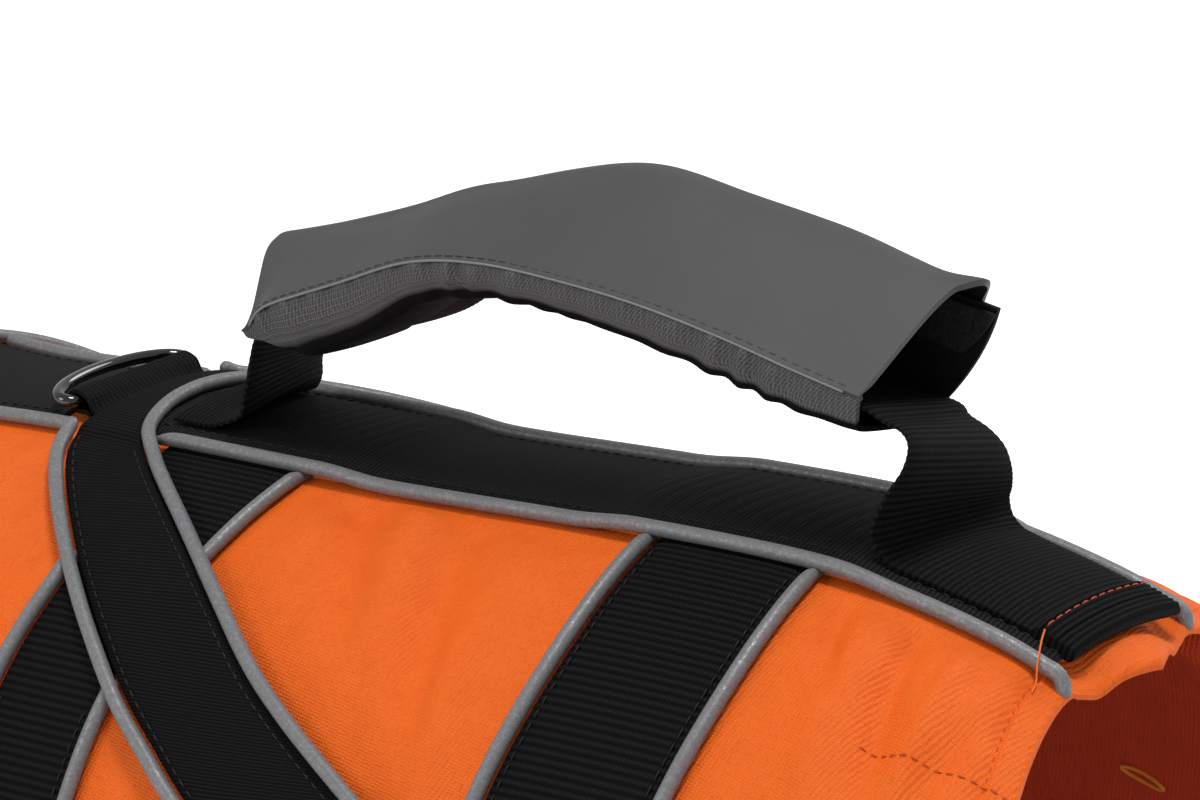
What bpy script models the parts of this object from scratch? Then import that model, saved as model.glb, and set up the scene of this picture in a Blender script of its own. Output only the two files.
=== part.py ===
"""Dog life jacket, hollow as worn: padded side panels, a spine strip, edged webbing bands,
a lifting handle with a wrapped grip, a lead ring and the straps that close it under the dog.

Frame: +X to the tail, +Y to the dog's right, +Z up. The origin is on the inner face of the
back, below the middle of the handle. Lengths are in metres.
"""

import math

import bmesh
import bpy
from mathutils import Vector

MM = 0.001

# Cloth and webbing
GAP = 0.3 * MM
WEB = 1.2 * MM
LAYER = WEB + GAP
CLOTH = 2.5 * MM
FOAM = 7.5 * MM
PIPING_RADIUS = 1.7 * MM
PIPING_SEAT = PIPING_RADIUS + GAP
PIPING_REACH = PIPING_RADIUS + 0.25 * MM

# Spine
SPINE_HALF = 23.5 * MM
SPINE_STRIP_HALF = SPINE_HALF - PIPING_REACH
SPINE_FRONT = -0.1885
STRIP_FRONT = -0.1905
RING_FOLD_FRONT = -0.1325
STRIP_REAR_START = -0.1135
SPINE_REAR = 0.1325
PIPING_REAR = 0.139

# Cross-sections of the outer cloth: place along the back, half width, half depth, height of the back
SECTIONS = [
    # x, half_width, half_depth, crest
    (-0.230, 0.0985, 0.1045, -0.0010),
    (-0.200, 0.1005, 0.1075, -0.0036),
    (-0.170, 0.1025, 0.1105, -0.0046),
    (-0.130, 0.1038, 0.1126, -0.0021),
    (-0.080, 0.1038, 0.1126, -0.0005),
    (-0.030, 0.1038, 0.1126, 0.0009),
    (0.020, 0.1038, 0.1126, 0.0037),
    (0.070, 0.1038, 0.1126, 0.0054),
    (0.095, 0.1038, 0.1126, 0.0041),
    (0.120, 0.1036, 0.1122, -0.0005),
    (0.135, 0.1034, 0.1118, -0.0052),
    (0.150, 0.1030, 0.1112, -0.0110),
]

# Cut of one side panel: distance down from the spine, neck edge, tail edge
PANEL_EDGES = [
    # down, neck, tail
    (0.000, -0.222, 0.1465),
    (0.020, -0.220, 0.1450),
    (0.035, -0.217, 0.1403),
    (0.060, -0.208, 0.1405),
    (0.100, -0.192, 0.1405),
    (0.140, -0.176, 0.1385),
    (0.180, -0.148, 0.1300),
    (0.210, -0.118, 0.1130),
    (0.225, -0.098, 0.0980),
]
PANEL_BOTTOM = 0.225
PANEL_ROWS = 15
PANEL_COLUMNS = 17

# Bands: lines of their two pipings, as place along the back and distance down from the spine
YOKE = [
    # front_x, front_down, rear_x, rear_down
    (-0.1225, 0.0000, -0.1085, 0.0000),
    (-0.1228, 0.0120, -0.1072, 0.0110),
    (-0.1235, 0.0235, -0.1025, 0.0227),
    (-0.1202, 0.0340, -0.0940, 0.0310),
    (-0.1117, 0.0449, -0.0858, 0.0376),
    (-0.0994, 0.0578, -0.0683, 0.0506),
    (-0.0854, 0.0713, -0.0500, 0.0645),
    (-0.0719, 0.0834, -0.0323, 0.0780),
    (-0.0608, 0.0929, -0.0181, 0.0871),
    (-0.0498, 0.1008, -0.0047, 0.0948),
    (-0.0364, 0.1102, 0.0088, 0.1022),
    (-0.0050, 0.1300, 0.0215, 0.1092),
    (0.0298, 0.1476, 0.0298, 0.1143),
]
CHEST_BAND = [
    # front_x, front_down, rear_x, rear_down
    (-0.1000, 0.0000, -0.0560, 0.0000),
    (-0.0990, 0.0235, -0.0570, 0.0235),
    (-0.0965, 0.0450, -0.0598, 0.0450),
    (-0.0950, 0.0630, -0.0625, 0.0630),
    (-0.0972, 0.0840, -0.0655, 0.0840),
    (-0.0990, 0.1100, -0.0671, 0.1100),
    (-0.1005, 0.1500, -0.0685, 0.1500),
    (-0.1000, 0.2200, -0.0680, 0.2200),
]
REAR_BAND = [
    # front_x, front_down, rear_x, rear_down
    (0.0365, 0.0000, 0.0781, 0.0000),
    (0.0368, 0.0235, 0.0785, 0.0235),
    (0.0376, 0.0600, 0.0794, 0.0600),
    (0.0350, 0.1000, 0.0770, 0.1000),
    (0.0325, 0.1500, 0.0745, 0.1500),
    (0.0310, 0.2200, 0.0730, 0.2200),
]
NECK_BAND = [
    # front_x, front_down, rear_x, rear_down
    (-0.2190, 0.0000, -0.1960, 0.0000),
    (-0.2150, 0.0300, -0.1910, 0.0300),
    (-0.2050, 0.0600, -0.1800, 0.0600),
    (-0.1890, 0.1000, -0.1640, 0.1000),
    (-0.1730, 0.1400, -0.1480, 0.1400),
    (-0.1690, 0.1500, -0.1440, 0.1500),
]
BAND_START = SPINE_HALF + 2 * PIPING_RADIUS + GAP
RAMP = 6 * MM
LIFT_MARGIN = 4 * MM
NECK_SEAT = 0.6 * MM

# Handle webbing: middle of its thickness, from each foot to the grip
HANDLE_HALF = 18.2 * MM
HANDLE_WEB = 1.5 * MM
FRONT_FOOT = [
    # x, z, lead of the left edge, rise of the left edge, drop of both edges
    (-0.0860, 0.0052, 1.5, 0.0, 1.5),
    (-0.0834, 0.0068, 3.2, 0.0, 0.6),
    (-0.0828, 0.0098, 3.8, 0.5, 0.0),
    (-0.0818, 0.0135, 4.0, 1.2, 0.0),
    (-0.0800, 0.0175, 3.4, 2.4, 0.0),
    (-0.0768, 0.0214, 2.0, 3.6, 0.0),
    (-0.0708, 0.0242, 0.6, 4.0, 0.0),
]
REAR_FOOT = [
    # x, z, lead of the left edge, rise of the left edge, drop of both edges
    (0.0890, 0.0318, 1.2, 4.2, 0.0),
    (0.0934, 0.0302, 1.0, 4.6, 0.0),
    (0.0962, 0.0272, 0.0, 4.6, 0.0),
    (0.0964, 0.0224, -1.6, 4.0, 0.0),
    (0.0945, 0.0174, -3.7, 2.8, 0.0),
    (0.0926, 0.0124, -5.0, 0.6, 0.0),
    (0.0935, 0.0088, -5.0, 0.2, 0.3),
    (0.0965, 0.0070, -4.6, 0.0, 1.2),
    (0.1010, 0.0066, -3.2, 0.0, 1.8),
]
FOOT_DROP = 1.8
FOOT_SEAT = 3.1 * MM
FRONT_LYING = [(-0.1000, 0.0), (-0.0900, 0.0)]
REAR_LYING = [(0.1060, -2.4), (0.1120, -2.0), (0.1190, -1.7), (0.1260, -1.6), (0.1320, -1.6), (0.1373, -1.6)]
GRIP_SEAT = 0.9 * MM
GRIP_TILT = 4.0

# Grip sleeve: foot of its left side, pitch, and how far its seam and its crest stand above that
SLEEVE = [
    # x, z, pitch, seam, crest
    (-0.0775, 0.0237, 26.0, 6.5, 20.0),
    (-0.0630, 0.0244, 25.0, 11.7, 23.7),
    (-0.0450, 0.0314, 22.0, 12.0, 22.3),
    (-0.0280, 0.0419, 12.0, 8.7, 18.7),
    (-0.0100, 0.0454, 4.0, 7.9, 21.2),
    (0.0100, 0.0449, -2.0, 8.0, 25.5),
    (0.0300, 0.0424, -8.0, 8.8, 26.0),
    (0.0500, 0.0386, -11.0, 9.3, 26.5),
    (0.0680, 0.0349, -11.5, 9.2, 26.3),
    (0.0840, 0.0332, -10.0, 7.8, 25.0),
]
SLEEVE_WALL = 1.5 * MM
UNDERSIDE_WALL = 1.2 * MM
SEAM_SIDE = -20.5 * MM
CREST_SIDE = 12.5 * MM
BACK_SIDE = 22.5 * MM
UNDERSIDE_START = 0.8
FLAP_FROM = 6
FLAP_OVERHANG = 6 * MM

# Lead ring and its loop
RING_BAR_X = -0.1285
RING_WIRE = 1.5 * MM
RING_HALF = 21.0 * MM
RING_CORNER = 2.5 * MM
RING_DEPTH = 10.0 * MM
RING_PITCH = math.radians(8.0)
RING_SEAT = 3.1 * MM
LOOP_WEB = 1.0 * MM
LOOP_HALF = 19.0 * MM
LOOP_TAIL = 12.0 * MM
YOKE_OVER_LOOP = 2.9 * MM

# Closing straps: place along the body, where they are sewn on, half width
CLOSING_STRAPS = [
    # name, x at the top, x at the buckle, sewn from, half width
    ("chest_strap", -0.1600, -0.1500, 0.138, 0.0090),
    ("front_belly_strap", -0.0842, -0.0842, 0.178, 0.0125),
    ("rear_belly_strap", 0.0520, 0.0520, 0.178, 0.0125),
]
STRAP_SEAT = 2.2 * MM
BUCKLE_HALF_LENGTH = 28.0 * MM
BUCKLE_HALF_WIDTH = 16.0 * MM
BUCKLE_HALF_DEPTH = 5.0 * MM

# Colours, roughness and metallic value
FINISHES = {
    "shell_cloth": ((0.90, 0.17, 0.02), 0.65, 0.0),
    "webbing": ((0.012, 0.012, 0.013), 0.75, 0.0),
    "piping": ((0.16, 0.16, 0.17), 0.45, 0.0),
    "grip": ((0.09, 0.09, 0.095), 0.55, 0.0),
    "grip_lining": ((0.055, 0.055, 0.06), 0.70, 0.0),
    "flap_cloth": ((0.01, 0.01, 0.011), 0.80, 0.0),
    "hook_tape": ((0.008, 0.008, 0.009), 0.90, 0.0),
    "ring_metal": ((0.01, 0.01, 0.012), 0.12, 1.0),
    "buckle_plastic": ((0.01, 0.01, 0.011), 0.40, 0.0),
}


def smooth(table, at, column):
    """A column of a table as a smooth curve over the table's first column."""
    rows = sorted(table)
    at = min(max(at, rows[0][0]), rows[-1][0])
    i = max(k for k in range(len(rows) - 1) if rows[k][0] <= at)
    x0, x1 = rows[i][0], rows[i + 1][0]
    y0, y1 = rows[i][column], rows[i + 1][column]

    def slope(k):
        low, high = max(k - 1, 0), min(k + 1, len(rows) - 1)
        return (rows[high][column] - rows[low][column]) / (rows[high][0] - rows[low][0])

    t = (at - x0) / (x1 - x0)
    span = x1 - x0
    return (
        (2 * t**3 - 3 * t**2 + 1) * y0
        + (t**3 - 2 * t**2 + t) * span * slope(i)
        + (3 * t**2 - 2 * t**3) * y1
        + (t**3 - t**2) * span * slope(i + 1)
    )


def numbered(table):
    """The table with its row number as first column, so that it can be smoothed along its rows."""
    return [(float(number), *row) for number, row in enumerate(table)]


def step(value):
    """0 below 0, 1 above 1, and a soft step between."""
    value = min(max(value, 0.0), 1.0)
    return value * value * (3 - 2 * value)


def skin(x, down, height):
    """The point at x, at a signed distance down from the spine, and a height out of the outer cloth."""
    half_width = smooth(SECTIONS, x, 1)
    half_depth = smooth(SECTIONS, x, 2)
    mean = (half_width + half_depth) / 2
    swing = (half_depth - half_width) / 4
    angle = abs(down) / mean
    for _ in range(4):
        angle -= (mean * angle - swing * math.sin(2 * angle) - abs(down)) / mean
    out = Vector((0, math.sin(angle) / half_width, math.cos(angle) / half_depth)).normalized()
    y = half_width * math.sin(angle) + height * out.y
    z = smooth(SECTIONS, x, 3) + half_depth * (math.cos(angle) - 1) + height * out.z
    return Vector((x, math.copysign(y, down), z))


def lift(x):
    """How far the spine strip and its pipings are lifted where they cross the two bands below them."""
    raised = 0.0
    for band in (CHEST_BAND, REAR_BAND):
        front = band[1][0] - LIFT_MARGIN
        rear = band[1][2] + LIFT_MARGIN
        raised += step((x - front) / RAMP + 1) * step((rear - x) / RAMP + 1)
    return LAYER * raised


def thickness(x, down):
    """Wall of a side panel: cloth at its edges and at the tail, foam between."""
    tail_foam = 0.093 + 0.044 * step((abs(down) - 0.050) / 0.012)
    neck = smooth(PANEL_EDGES, abs(down), 1)
    padded = (
        step((abs(down) - 0.026) / 0.014)
        * step((PANEL_BOTTOM - 0.005 - abs(down)) / 0.018)
        * step((x - neck - 0.028) / 0.018)
        * step((tail_foam - x) / 0.018)
    )
    return CLOTH + FOAM * padded


def material(finish):
    found = bpy.data.materials.get(finish)
    if found:
        return found
    colour, roughness, metallic = FINISHES[finish]
    found = bpy.data.materials.new(finish)
    found.use_nodes = True
    shader = found.node_tree.nodes["Principled BSDF"]
    shader.inputs["Base Color"].default_value = (*colour, 1)
    shader.inputs["Roughness"].default_value = roughness
    shader.inputs["Metallic"].default_value = metallic
    return found


def add_object(name, data, finish, parent=None):
    data.materials.append(material(finish))
    piece = bpy.data.objects.new(name, data)
    bpy.context.collection.objects.link(piece)
    piece.parent = parent
    return piece


def add_mesh(name, points, faces, finish, parent=None):
    """One closed body from its points and faces, with the faces turned outwards."""
    shape = bmesh.new()
    corners = [shape.verts.new(point) for point in points]
    for face in faces:
        shape.faces.new([corners[i] for i in face])
    bmesh.ops.recalc_face_normals(shape, faces=shape.faces)
    mesh = bpy.data.meshes.new(name)
    shape.to_mesh(mesh)
    shape.free()
    mesh.shade_smooth()
    mesh.set_sharp_from_angle(angle=math.radians(40))
    return add_object(name, mesh, finish, parent)


def loft(name, sections, finish, parent=None):
    """A closed body through sections with the same number of points, capped at both ends."""
    count = len(sections[0])
    points = [point for section in sections for point in section]
    faces = []
    for i in range(len(sections) - 1):
        for j in range(count):
            k = (j + 1) % count
            faces.append((i * count + j, i * count + k, (i + 1) * count + k, (i + 1) * count + j))
    last = (len(sections) - 1) * count
    faces.append(tuple(range(count)))
    faces.append(tuple(last + j for j in range(count)))
    return add_mesh(name, points, faces, finish, parent)


def wall(name, under, over, finish, parent=None):
    """A closed body between two grids of points, which are lists of rows."""
    rows, columns = len(under), len(under[0])
    half = rows * columns
    points = [point for grid in (under, over) for row in grid for point in row]

    def at(i, j, side):
        return side * half + i * columns + j

    faces = []
    for i in range(rows - 1):
        for j in range(columns - 1):
            for side in (0, 1):
                faces.append((at(i, j, side), at(i, j + 1, side), at(i + 1, j + 1, side), at(i + 1, j, side)))
    rim = [(0, j) for j in range(columns - 1)] + [(i, columns - 1) for i in range(rows - 1)]
    rim += [(rows - 1, j) for j in range(columns - 1, 0, -1)] + [(i, 0) for i in range(rows - 1, 0, -1)]
    for (a, b), (c, d) in zip(rim, rim[1:] + rim[:1]):
        faces.append((at(a, b, 0), at(c, d, 0), at(c, d, 1), at(a, b, 1)))
    return add_mesh(name, points, faces, finish, parent)


def tube(name, route, radius, finish, parent=None, closed=False, resolution=1):
    """A round cord along a list of points, with filled ends unless it closes on itself."""
    curve = bpy.data.curves.new(name, "CURVE")
    curve.dimensions = "3D"
    curve.bevel_depth = radius
    curve.bevel_resolution = resolution
    curve.use_fill_caps = not closed
    spline = curve.splines.new("POLY")
    spline.points.add(len(route) - 1)
    for point, place in zip(spline.points, route):
        point.co = (*place, 1)
    spline.use_cyclic_u = closed
    return add_object(name, curve, finish, parent)


def spread(first, last, count):
    """Evenly spaced values from the first to the last."""
    return [first + (last - first) * i / (count - 1) for i in range(count)]


def side_panel(name, side):
    """Half of the jacket: outer cloth, foam and lining in one wall, cut along PANEL_EDGES."""
    inside, outside = [], []
    for down in spread(GAP / 2, PANEL_BOTTOM, PANEL_ROWS):
        neck = smooth(PANEL_EDGES, down, 1)
        tail = smooth(PANEL_EDGES, down, 2)
        places = spread(neck, tail, PANEL_COLUMNS)
        inside.append([skin(x, side * down, -thickness(x, down)) for x in places])
        outside.append([skin(x, side * down, 0) for x in places])
    wall(name, inside, outside, "shell_cloth")


def strip(name, first, last, count):
    """A stretch of the tape over the spine."""
    seam_row = PANEL_BOTTOM / (PANEL_ROWS - 1)
    sides = (-SPINE_STRIP_HALF, -seam_row, 0, seam_row, SPINE_STRIP_HALF)
    grids = []
    for height in (GAP, GAP + WEB):
        grids.append([
            [skin(x, down, height + lift(x)) for down in sides]
            for x in spread(first, last, count)
        ])
    wall(name, *grids, "webbing")


def edge_of(band, place, rear, inset):
    """A point of a band's long edge, moved in towards the band, as place along the back and distance down."""
    rows = numbered(band)
    column = 3 if rear else 1

    def spot(at):
        return Vector((smooth(rows, at, column), smooth(rows, at, column + 1)))

    last = len(band) - 1
    along = (spot(min(place + 0.1, last)) - spot(max(place - 0.1, 0))).normalized()
    across = Vector((-along.y, along.x)) if rear else Vector((along.y, -along.x))
    return spot(place) + across * inset


def band_body(name, band, places, height):
    """A band over the back from one side to the other. height gives its underside at a place on it."""
    under, over = [], []
    for side in (-1, 1):
        for place in (reversed(places) if side < 0 else places[1:]):
            front = edge_of(band, place, False, PIPING_REACH)
            rear = edge_of(band, place, True, PIPING_REACH)
            spots = [front.lerp(rear, share) for share in (0, 0.5, 1)]
            raised = [height(spot) for spot in spots]
            under.append([skin(p.x, side * max(p.y, 1e-7), h) for p, h in zip(spots, raised)])
            over.append([skin(p.x, side * max(p.y, 1e-7), h + WEB) for p, h in zip(spots, raised)])
    wall(name, under, over, "webbing")


def places_down(band, first, last, count):
    """Row numbers of a band, between two distances down from the spine."""
    rows = sorted((row[1], float(number)) for number, row in enumerate(band))
    return [smooth(rows, down, 1) for down in spread(first, last, count)]


def band_piping(name, band, places, side, rear, height):
    """The piping along one long edge of a band."""
    route = []
    for place in places:
        spot = edge_of(band, place, rear, 0)
        route.append(skin(spot.x, side * max(spot.y, 1e-7), height(spot) + PIPING_RADIUS))
    tube(name, route, PIPING_RADIUS, "piping")


def yoke_height(spot):
    """The yoke lies on the panels and the chest band, and over the ring's loop at the spine."""
    over_spine = step((SPINE_HALF + 5 * MM - spot.y) / (4 * MM))
    return GAP + LAYER + (YOKE_OVER_LOOP - GAP - LAYER) * over_spine


def bands():
    def flat(spot):
        return GAP

    last = PANEL_BOTTOM - 4 * MM
    for name, band, count in (("chest_band", CHEST_BAND, 15), ("rear_band", REAR_BAND, 15)):
        band_body(name, band, places_down(band, 0, last - MM, count), flat)
    band_body("neck_band", NECK_BAND, places_down(NECK_BAND, 0, 0.150, 11), lambda spot: NECK_SEAT)
    yoke_places = spread(0, len(YOKE) - 1, 25)
    band_body("shoulder_band", YOKE, yoke_places, yoke_height)

    for word, side in (("left", -1), ("right", 1)):
        below = places_down(REAR_BAND, BAND_START, last - MM, 14)
        band_piping(f"rear_band_front_piping_{word}", REAR_BAND, below, side, False, flat)
        band_piping(f"rear_band_rear_piping_{word}", REAR_BAND, below, side, True, flat)
        above = places_down(CHEST_BAND, BAND_START, 0.0475, 3)
        band_piping(f"chest_band_top_piping_{word}", CHEST_BAND, above, side, True, flat)
        below = places_down(CHEST_BAND, 0.0665, last - MM, 11)
        band_piping(f"chest_band_front_piping_{word}", CHEST_BAND, below, side, False, flat)
        below = places_down(CHEST_BAND, 0.0935, last - MM, 10)
        band_piping(f"chest_band_rear_piping_{word}", CHEST_BAND, below, side, True, flat)
        yoke_front = [place for place in yoke_places if place >= 2.4]
        band_piping(f"shoulder_front_piping_{word}", YOKE, yoke_front, side, False, yoke_height)
        band_piping(f"shoulder_rear_piping_{word}", YOKE, yoke_places[1:], side, True, yoke_height)


def spine():
    strip("spine_strip_front", STRIP_FRONT, RING_FOLD_FRONT, 8)
    strip("spine_strip", STRIP_REAR_START, SPINE_REAR, 28)
    for word, side in (("left", -1), ("right", 1)):
        for name, first, last, count in (
            ("front", SPINE_FRONT, -0.1285, 6),
            ("rear", -0.0965, PIPING_REAR, 24),
        ):
            route = [
                skin(x, side * SPINE_HALF, PIPING_SEAT + lift(x))
                for x in spread(first, last, count)
            ]
            tube(f"spine_{name}_piping_{word}", route, PIPING_RADIUS, "piping")


def neck_piping():
    places = places_down(NECK_BAND, 0, 0.150, 9)
    route = []
    for side in (-1, 1):
        for place in (reversed(places) if side < 0 else places[1:]):
            spot = edge_of(NECK_BAND, place, True, 0)
            route.append(skin(spot.x, side * max(spot.y, 1e-7), NECK_SEAT + PIPING_RADIUS))
    tube("neck_piping", route, PIPING_RADIUS, "piping")


def lying(x, lead):
    """A row of the handle webbing's route where it lies on the spine strip."""
    return (x, smooth(SECTIONS, x, 3) + lift(x) + FOOT_SEAT, lead, 0.0, FOOT_DROP)


def handle_webbing():
    """One length of webbing: flat at both feet, standing up, and lying in the grip between them."""
    in_grip = [sleeve_point(row, 0, GRIP_SEAT) for row in SLEEVE[1:]]
    held = [(spot.x, spot.z, 0.0, GRIP_TILT, 0.0) for spot in in_grip]
    front, rear = ([lying(*place) for place in foot] for foot in (FRONT_LYING, REAR_LYING))
    route = [*front, *FRONT_FOOT, *held, *REAR_FOOT, *rear]
    rows = numbered(route)
    under, over = [], []
    for number in spread(0, len(route) - 1, round(1.5 * len(route))):
        x, z, lead, rise, drop = (smooth(rows, number, column) for column in range(1, 6))
        before = max(number - 0.25, 0.0)
        after = min(number + 0.25, len(route) - 1.0)
        along = Vector((
            smooth(rows, after, 1) - smooth(rows, before, 1),
            0,
            smooth(rows, after, 2) - smooth(rows, before, 2),
        )).normalized()
        out = Vector((-along.z, 0, along.x)) * (HANDLE_WEB / 2)
        cross = [
            Vector((
                x - share * lead * MM,
                share * HANDLE_HALF,
                z - share * rise * MM - share**2 * drop * MM,
            ))
            for share in (-1, -0.5, 0, 0.5, 1)
        ]
        under.append([point - out for point in cross])
        over.append([point + out for point in cross])
    wall("handle_webbing", under, over, "webbing")


def sleeve_point(row, side, rise):
    """A point of the grip in the cross-section of a row of SLEEVE, from its left foot."""
    x, z, pitch = row[0], row[1], math.radians(row[2])
    return Vector((x - math.sin(pitch) * rise, side, z + math.cos(pitch) * rise))


def sleeve_row(number):
    rows = numbered(SLEEVE)
    return tuple(smooth(rows, number, column) for column in range(1, 6))


def over_line(row):
    """The outer line of the grip's upper, from its seam over the crest and down its right side."""
    seam, crest = row[3] * MM, row[4] * MM
    rise = crest - seam
    return [
        (SEAM_SIDE, seam),
        (SEAM_SIDE + 10 * MM, seam + 0.36 * rise),
        (SEAM_SIDE + 21 * MM, seam + 0.74 * rise),
        (CREST_SIDE - 4 * MM, crest - 0.8 * MM),
        (CREST_SIDE, crest),
        (CREST_SIDE + 5 * MM, crest - 0.8 * MM),
        (BACK_SIDE, crest - 4.5 * MM),
        (BACK_SIDE + 0.5 * MM, crest / 2),
        (BACK_SIDE, -2 * MM),
    ]


def under_line(row):
    """The outer line of the grip's underside, from below the seam to below its right side."""
    seam = row[3] * MM
    return [
        (SEAM_SIDE + 0.2 * MM, seam - 1.9 * MM),
        (SEAM_SIDE + 0.3 * MM, seam * 0.5),
        (SEAM_SIDE + 1.5 * MM, 0.6 * MM),
        (SEAM_SIDE + 5 * MM, -1.2 * MM),
        (0, -4.4 * MM),
        (BACK_SIDE - 5 * MM, -7.4 * MM),
        (BACK_SIDE - 2.6 * MM, -6.6 * MM),
        (BACK_SIDE - 1.9 * MM, -4.4 * MM),
    ]


def inward(line, amount):
    """The same line moved to its right, by the wall's thickness."""
    moved = []
    for i, (side, rise) in enumerate(line):
        before, after = line[max(i - 1, 0)], line[min(i + 1, len(line) - 1)]
        along = Vector((after[0] - before[0], after[1] - before[1])).normalized()
        moved.append((side + along.y * amount, rise - along.x * amount))
    return moved


def grip():
    """The wrapped grip: a smooth upper and a ripstop underside, cut back where the webbing enters."""
    last = len(SLEEVE) - 1
    upper_in, upper_out, lower_in, lower_out = [], [], [], []
    for share in spread(0, 1, 17):
        row = sleeve_row(share * last)
        line = over_line(row)
        upper_out.append([sleeve_point(row, *spot) for spot in line])
        upper_in.append([sleeve_point(row, *spot) for spot in inward(line, SLEEVE_WALL)])
        outer, inner = [], []
        for column in range(8):
            start = UNDERSIDE_START * step(column - 1)
            row = sleeve_row(start + share * (last - start))
            line = under_line(row)
            outer.append(sleeve_point(row, *line[column]))
            inner.append(sleeve_point(row, *inward(line, -UNDERSIDE_WALL)[column]))
        lower_out.append(outer)
        lower_in.append(inner)
    wall("grip_upper", upper_in, upper_out, "grip")
    wall("grip_underside", lower_in, lower_out, "grip_lining")


def closure_flap():
    """The black flap inside the right side of the grip, past its tail end, with hook tape on it."""
    end = SLEEVE[-1]
    pitch = math.radians(end[2])
    beyond = (
        end[0] + FLAP_OVERHANG * math.cos(pitch),
        end[1] + FLAP_OVERHANG * math.sin(pitch),
        *end[2:],
    )
    rows = [*SLEEVE[FLAP_FROM:], beyond]
    for name, finish, side, low, high in (
        ("grip_flap", "flap_cloth", 19.8 * MM, -2.0, 5.6),
        ("hook_tape", "hook_tape", 18.3 * MM, 9.0, 6.6),
    ):
        inside, outside = [], []
        for row in rows:
            rises = spread(low * MM, (row[4] - high) * MM, 4)
            inside.append([sleeve_point(row, side - WEB / 2, rise) for rise in rises])
            outside.append([sleeve_point(row, side + WEB / 2, rise) for rise in rises])
        wall(name, inside, outside, finish)


def ring_loop():
    """Webbing folded round the ring's bar, with both ends under the shoulder band."""
    radius = RING_WIRE + GAP
    centre_line = [(LOOP_TAIL, GAP + LOOP_WEB / 2 - RING_SEAT)]
    centre_line += [(4 * MM, GAP + LOOP_WEB / 2 - RING_SEAT)]
    fold = radius + LOOP_WEB / 2
    for turn in range(7):
        angle = math.radians(-90 - 30 * turn)
        centre_line.append((fold * math.cos(angle), fold * math.sin(angle)))
    upper = GAP + LOOP_WEB + GAP + LOOP_WEB / 2 - RING_SEAT
    centre_line += [(2.6 * MM, 1.5 * MM), (5.2 * MM, upper + 0.7 * MM), (7.2 * MM, upper), (LOOP_TAIL, upper)]
    sides = spread(-LOOP_HALF, LOOP_HALF, 5)
    inner, outer = [], []
    for i, (along, rise) in enumerate(centre_line):
        before = centre_line[max(i - 1, 0)]
        after = centre_line[min(i + 1, len(centre_line) - 1)]
        way = Vector((after[0] - before[0], after[1] - before[1])).normalized()
        for grid, amount in ((inner, -LOOP_WEB / 2), (outer, LOOP_WEB / 2)):
            x = along - way.y * amount
            up = rise + way.x * amount
            # Clear of the bar the webbing follows the curve of the back, and round the bar it is straight.
            follow = step((along - 2 * MM) / (3 * MM))
            grid.append([
                Vector((RING_BAR_X + x, side, skin(RING_BAR_X + follow * x, follow * side, RING_SEAT).z + up))
                for side in sides
            ])
    wall("ring_loop", inner, outer, "webbing")


def lead_ring():
    """A low D-shaped ring that turns on its straight bar. Its parent empty is on that bar's axis."""
    hinge = bpy.data.objects.new("ring_hinge", None)
    bpy.context.collection.objects.link(hinge)
    hinge.location = skin(RING_BAR_X, 0, RING_SEAT)
    hinge.rotation_euler = (0, RING_PITCH, 0)
    bar = RING_HALF - RING_CORNER
    route = [(bar * share, 0.0) for share in (-1, -0.5, 0, 0.5, 1)]
    for turn in (30, 60):
        angle = math.radians(turn)
        route.append((bar + RING_CORNER * math.sin(angle), RING_CORNER * (1 - math.cos(angle))))
    for turn in range(13):
        angle = math.pi * turn / 12
        reach = RING_CORNER + (RING_DEPTH - RING_CORNER) * math.sin(angle)
        route.append((RING_HALF * math.cos(angle), reach))
    for turn in (60, 30):
        angle = math.radians(turn)
        route.append((-bar - RING_CORNER * math.sin(angle), RING_CORNER * (1 - math.cos(angle))))
    points = [Vector((-reach, side, 0)) for side, reach in route]
    tube("lead_ring", points, RING_WIRE, "ring_metal", parent=hinge, closed=True, resolution=2)


def stepped_block(name, centre, toward, profile, finish):
    """A block along Y from rows of reach from the centre, half width along X and half depth along Z."""
    sections = []
    for reach, half_x, half_z in profile:
        sections.append([
            centre + Vector((half_x * sx, toward * reach, half_z * sz))
            for sx, sz in ((-1, -1), (1, -1), (1, 1), (-1, 1))
        ])
    loft(name, sections, finish)


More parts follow.
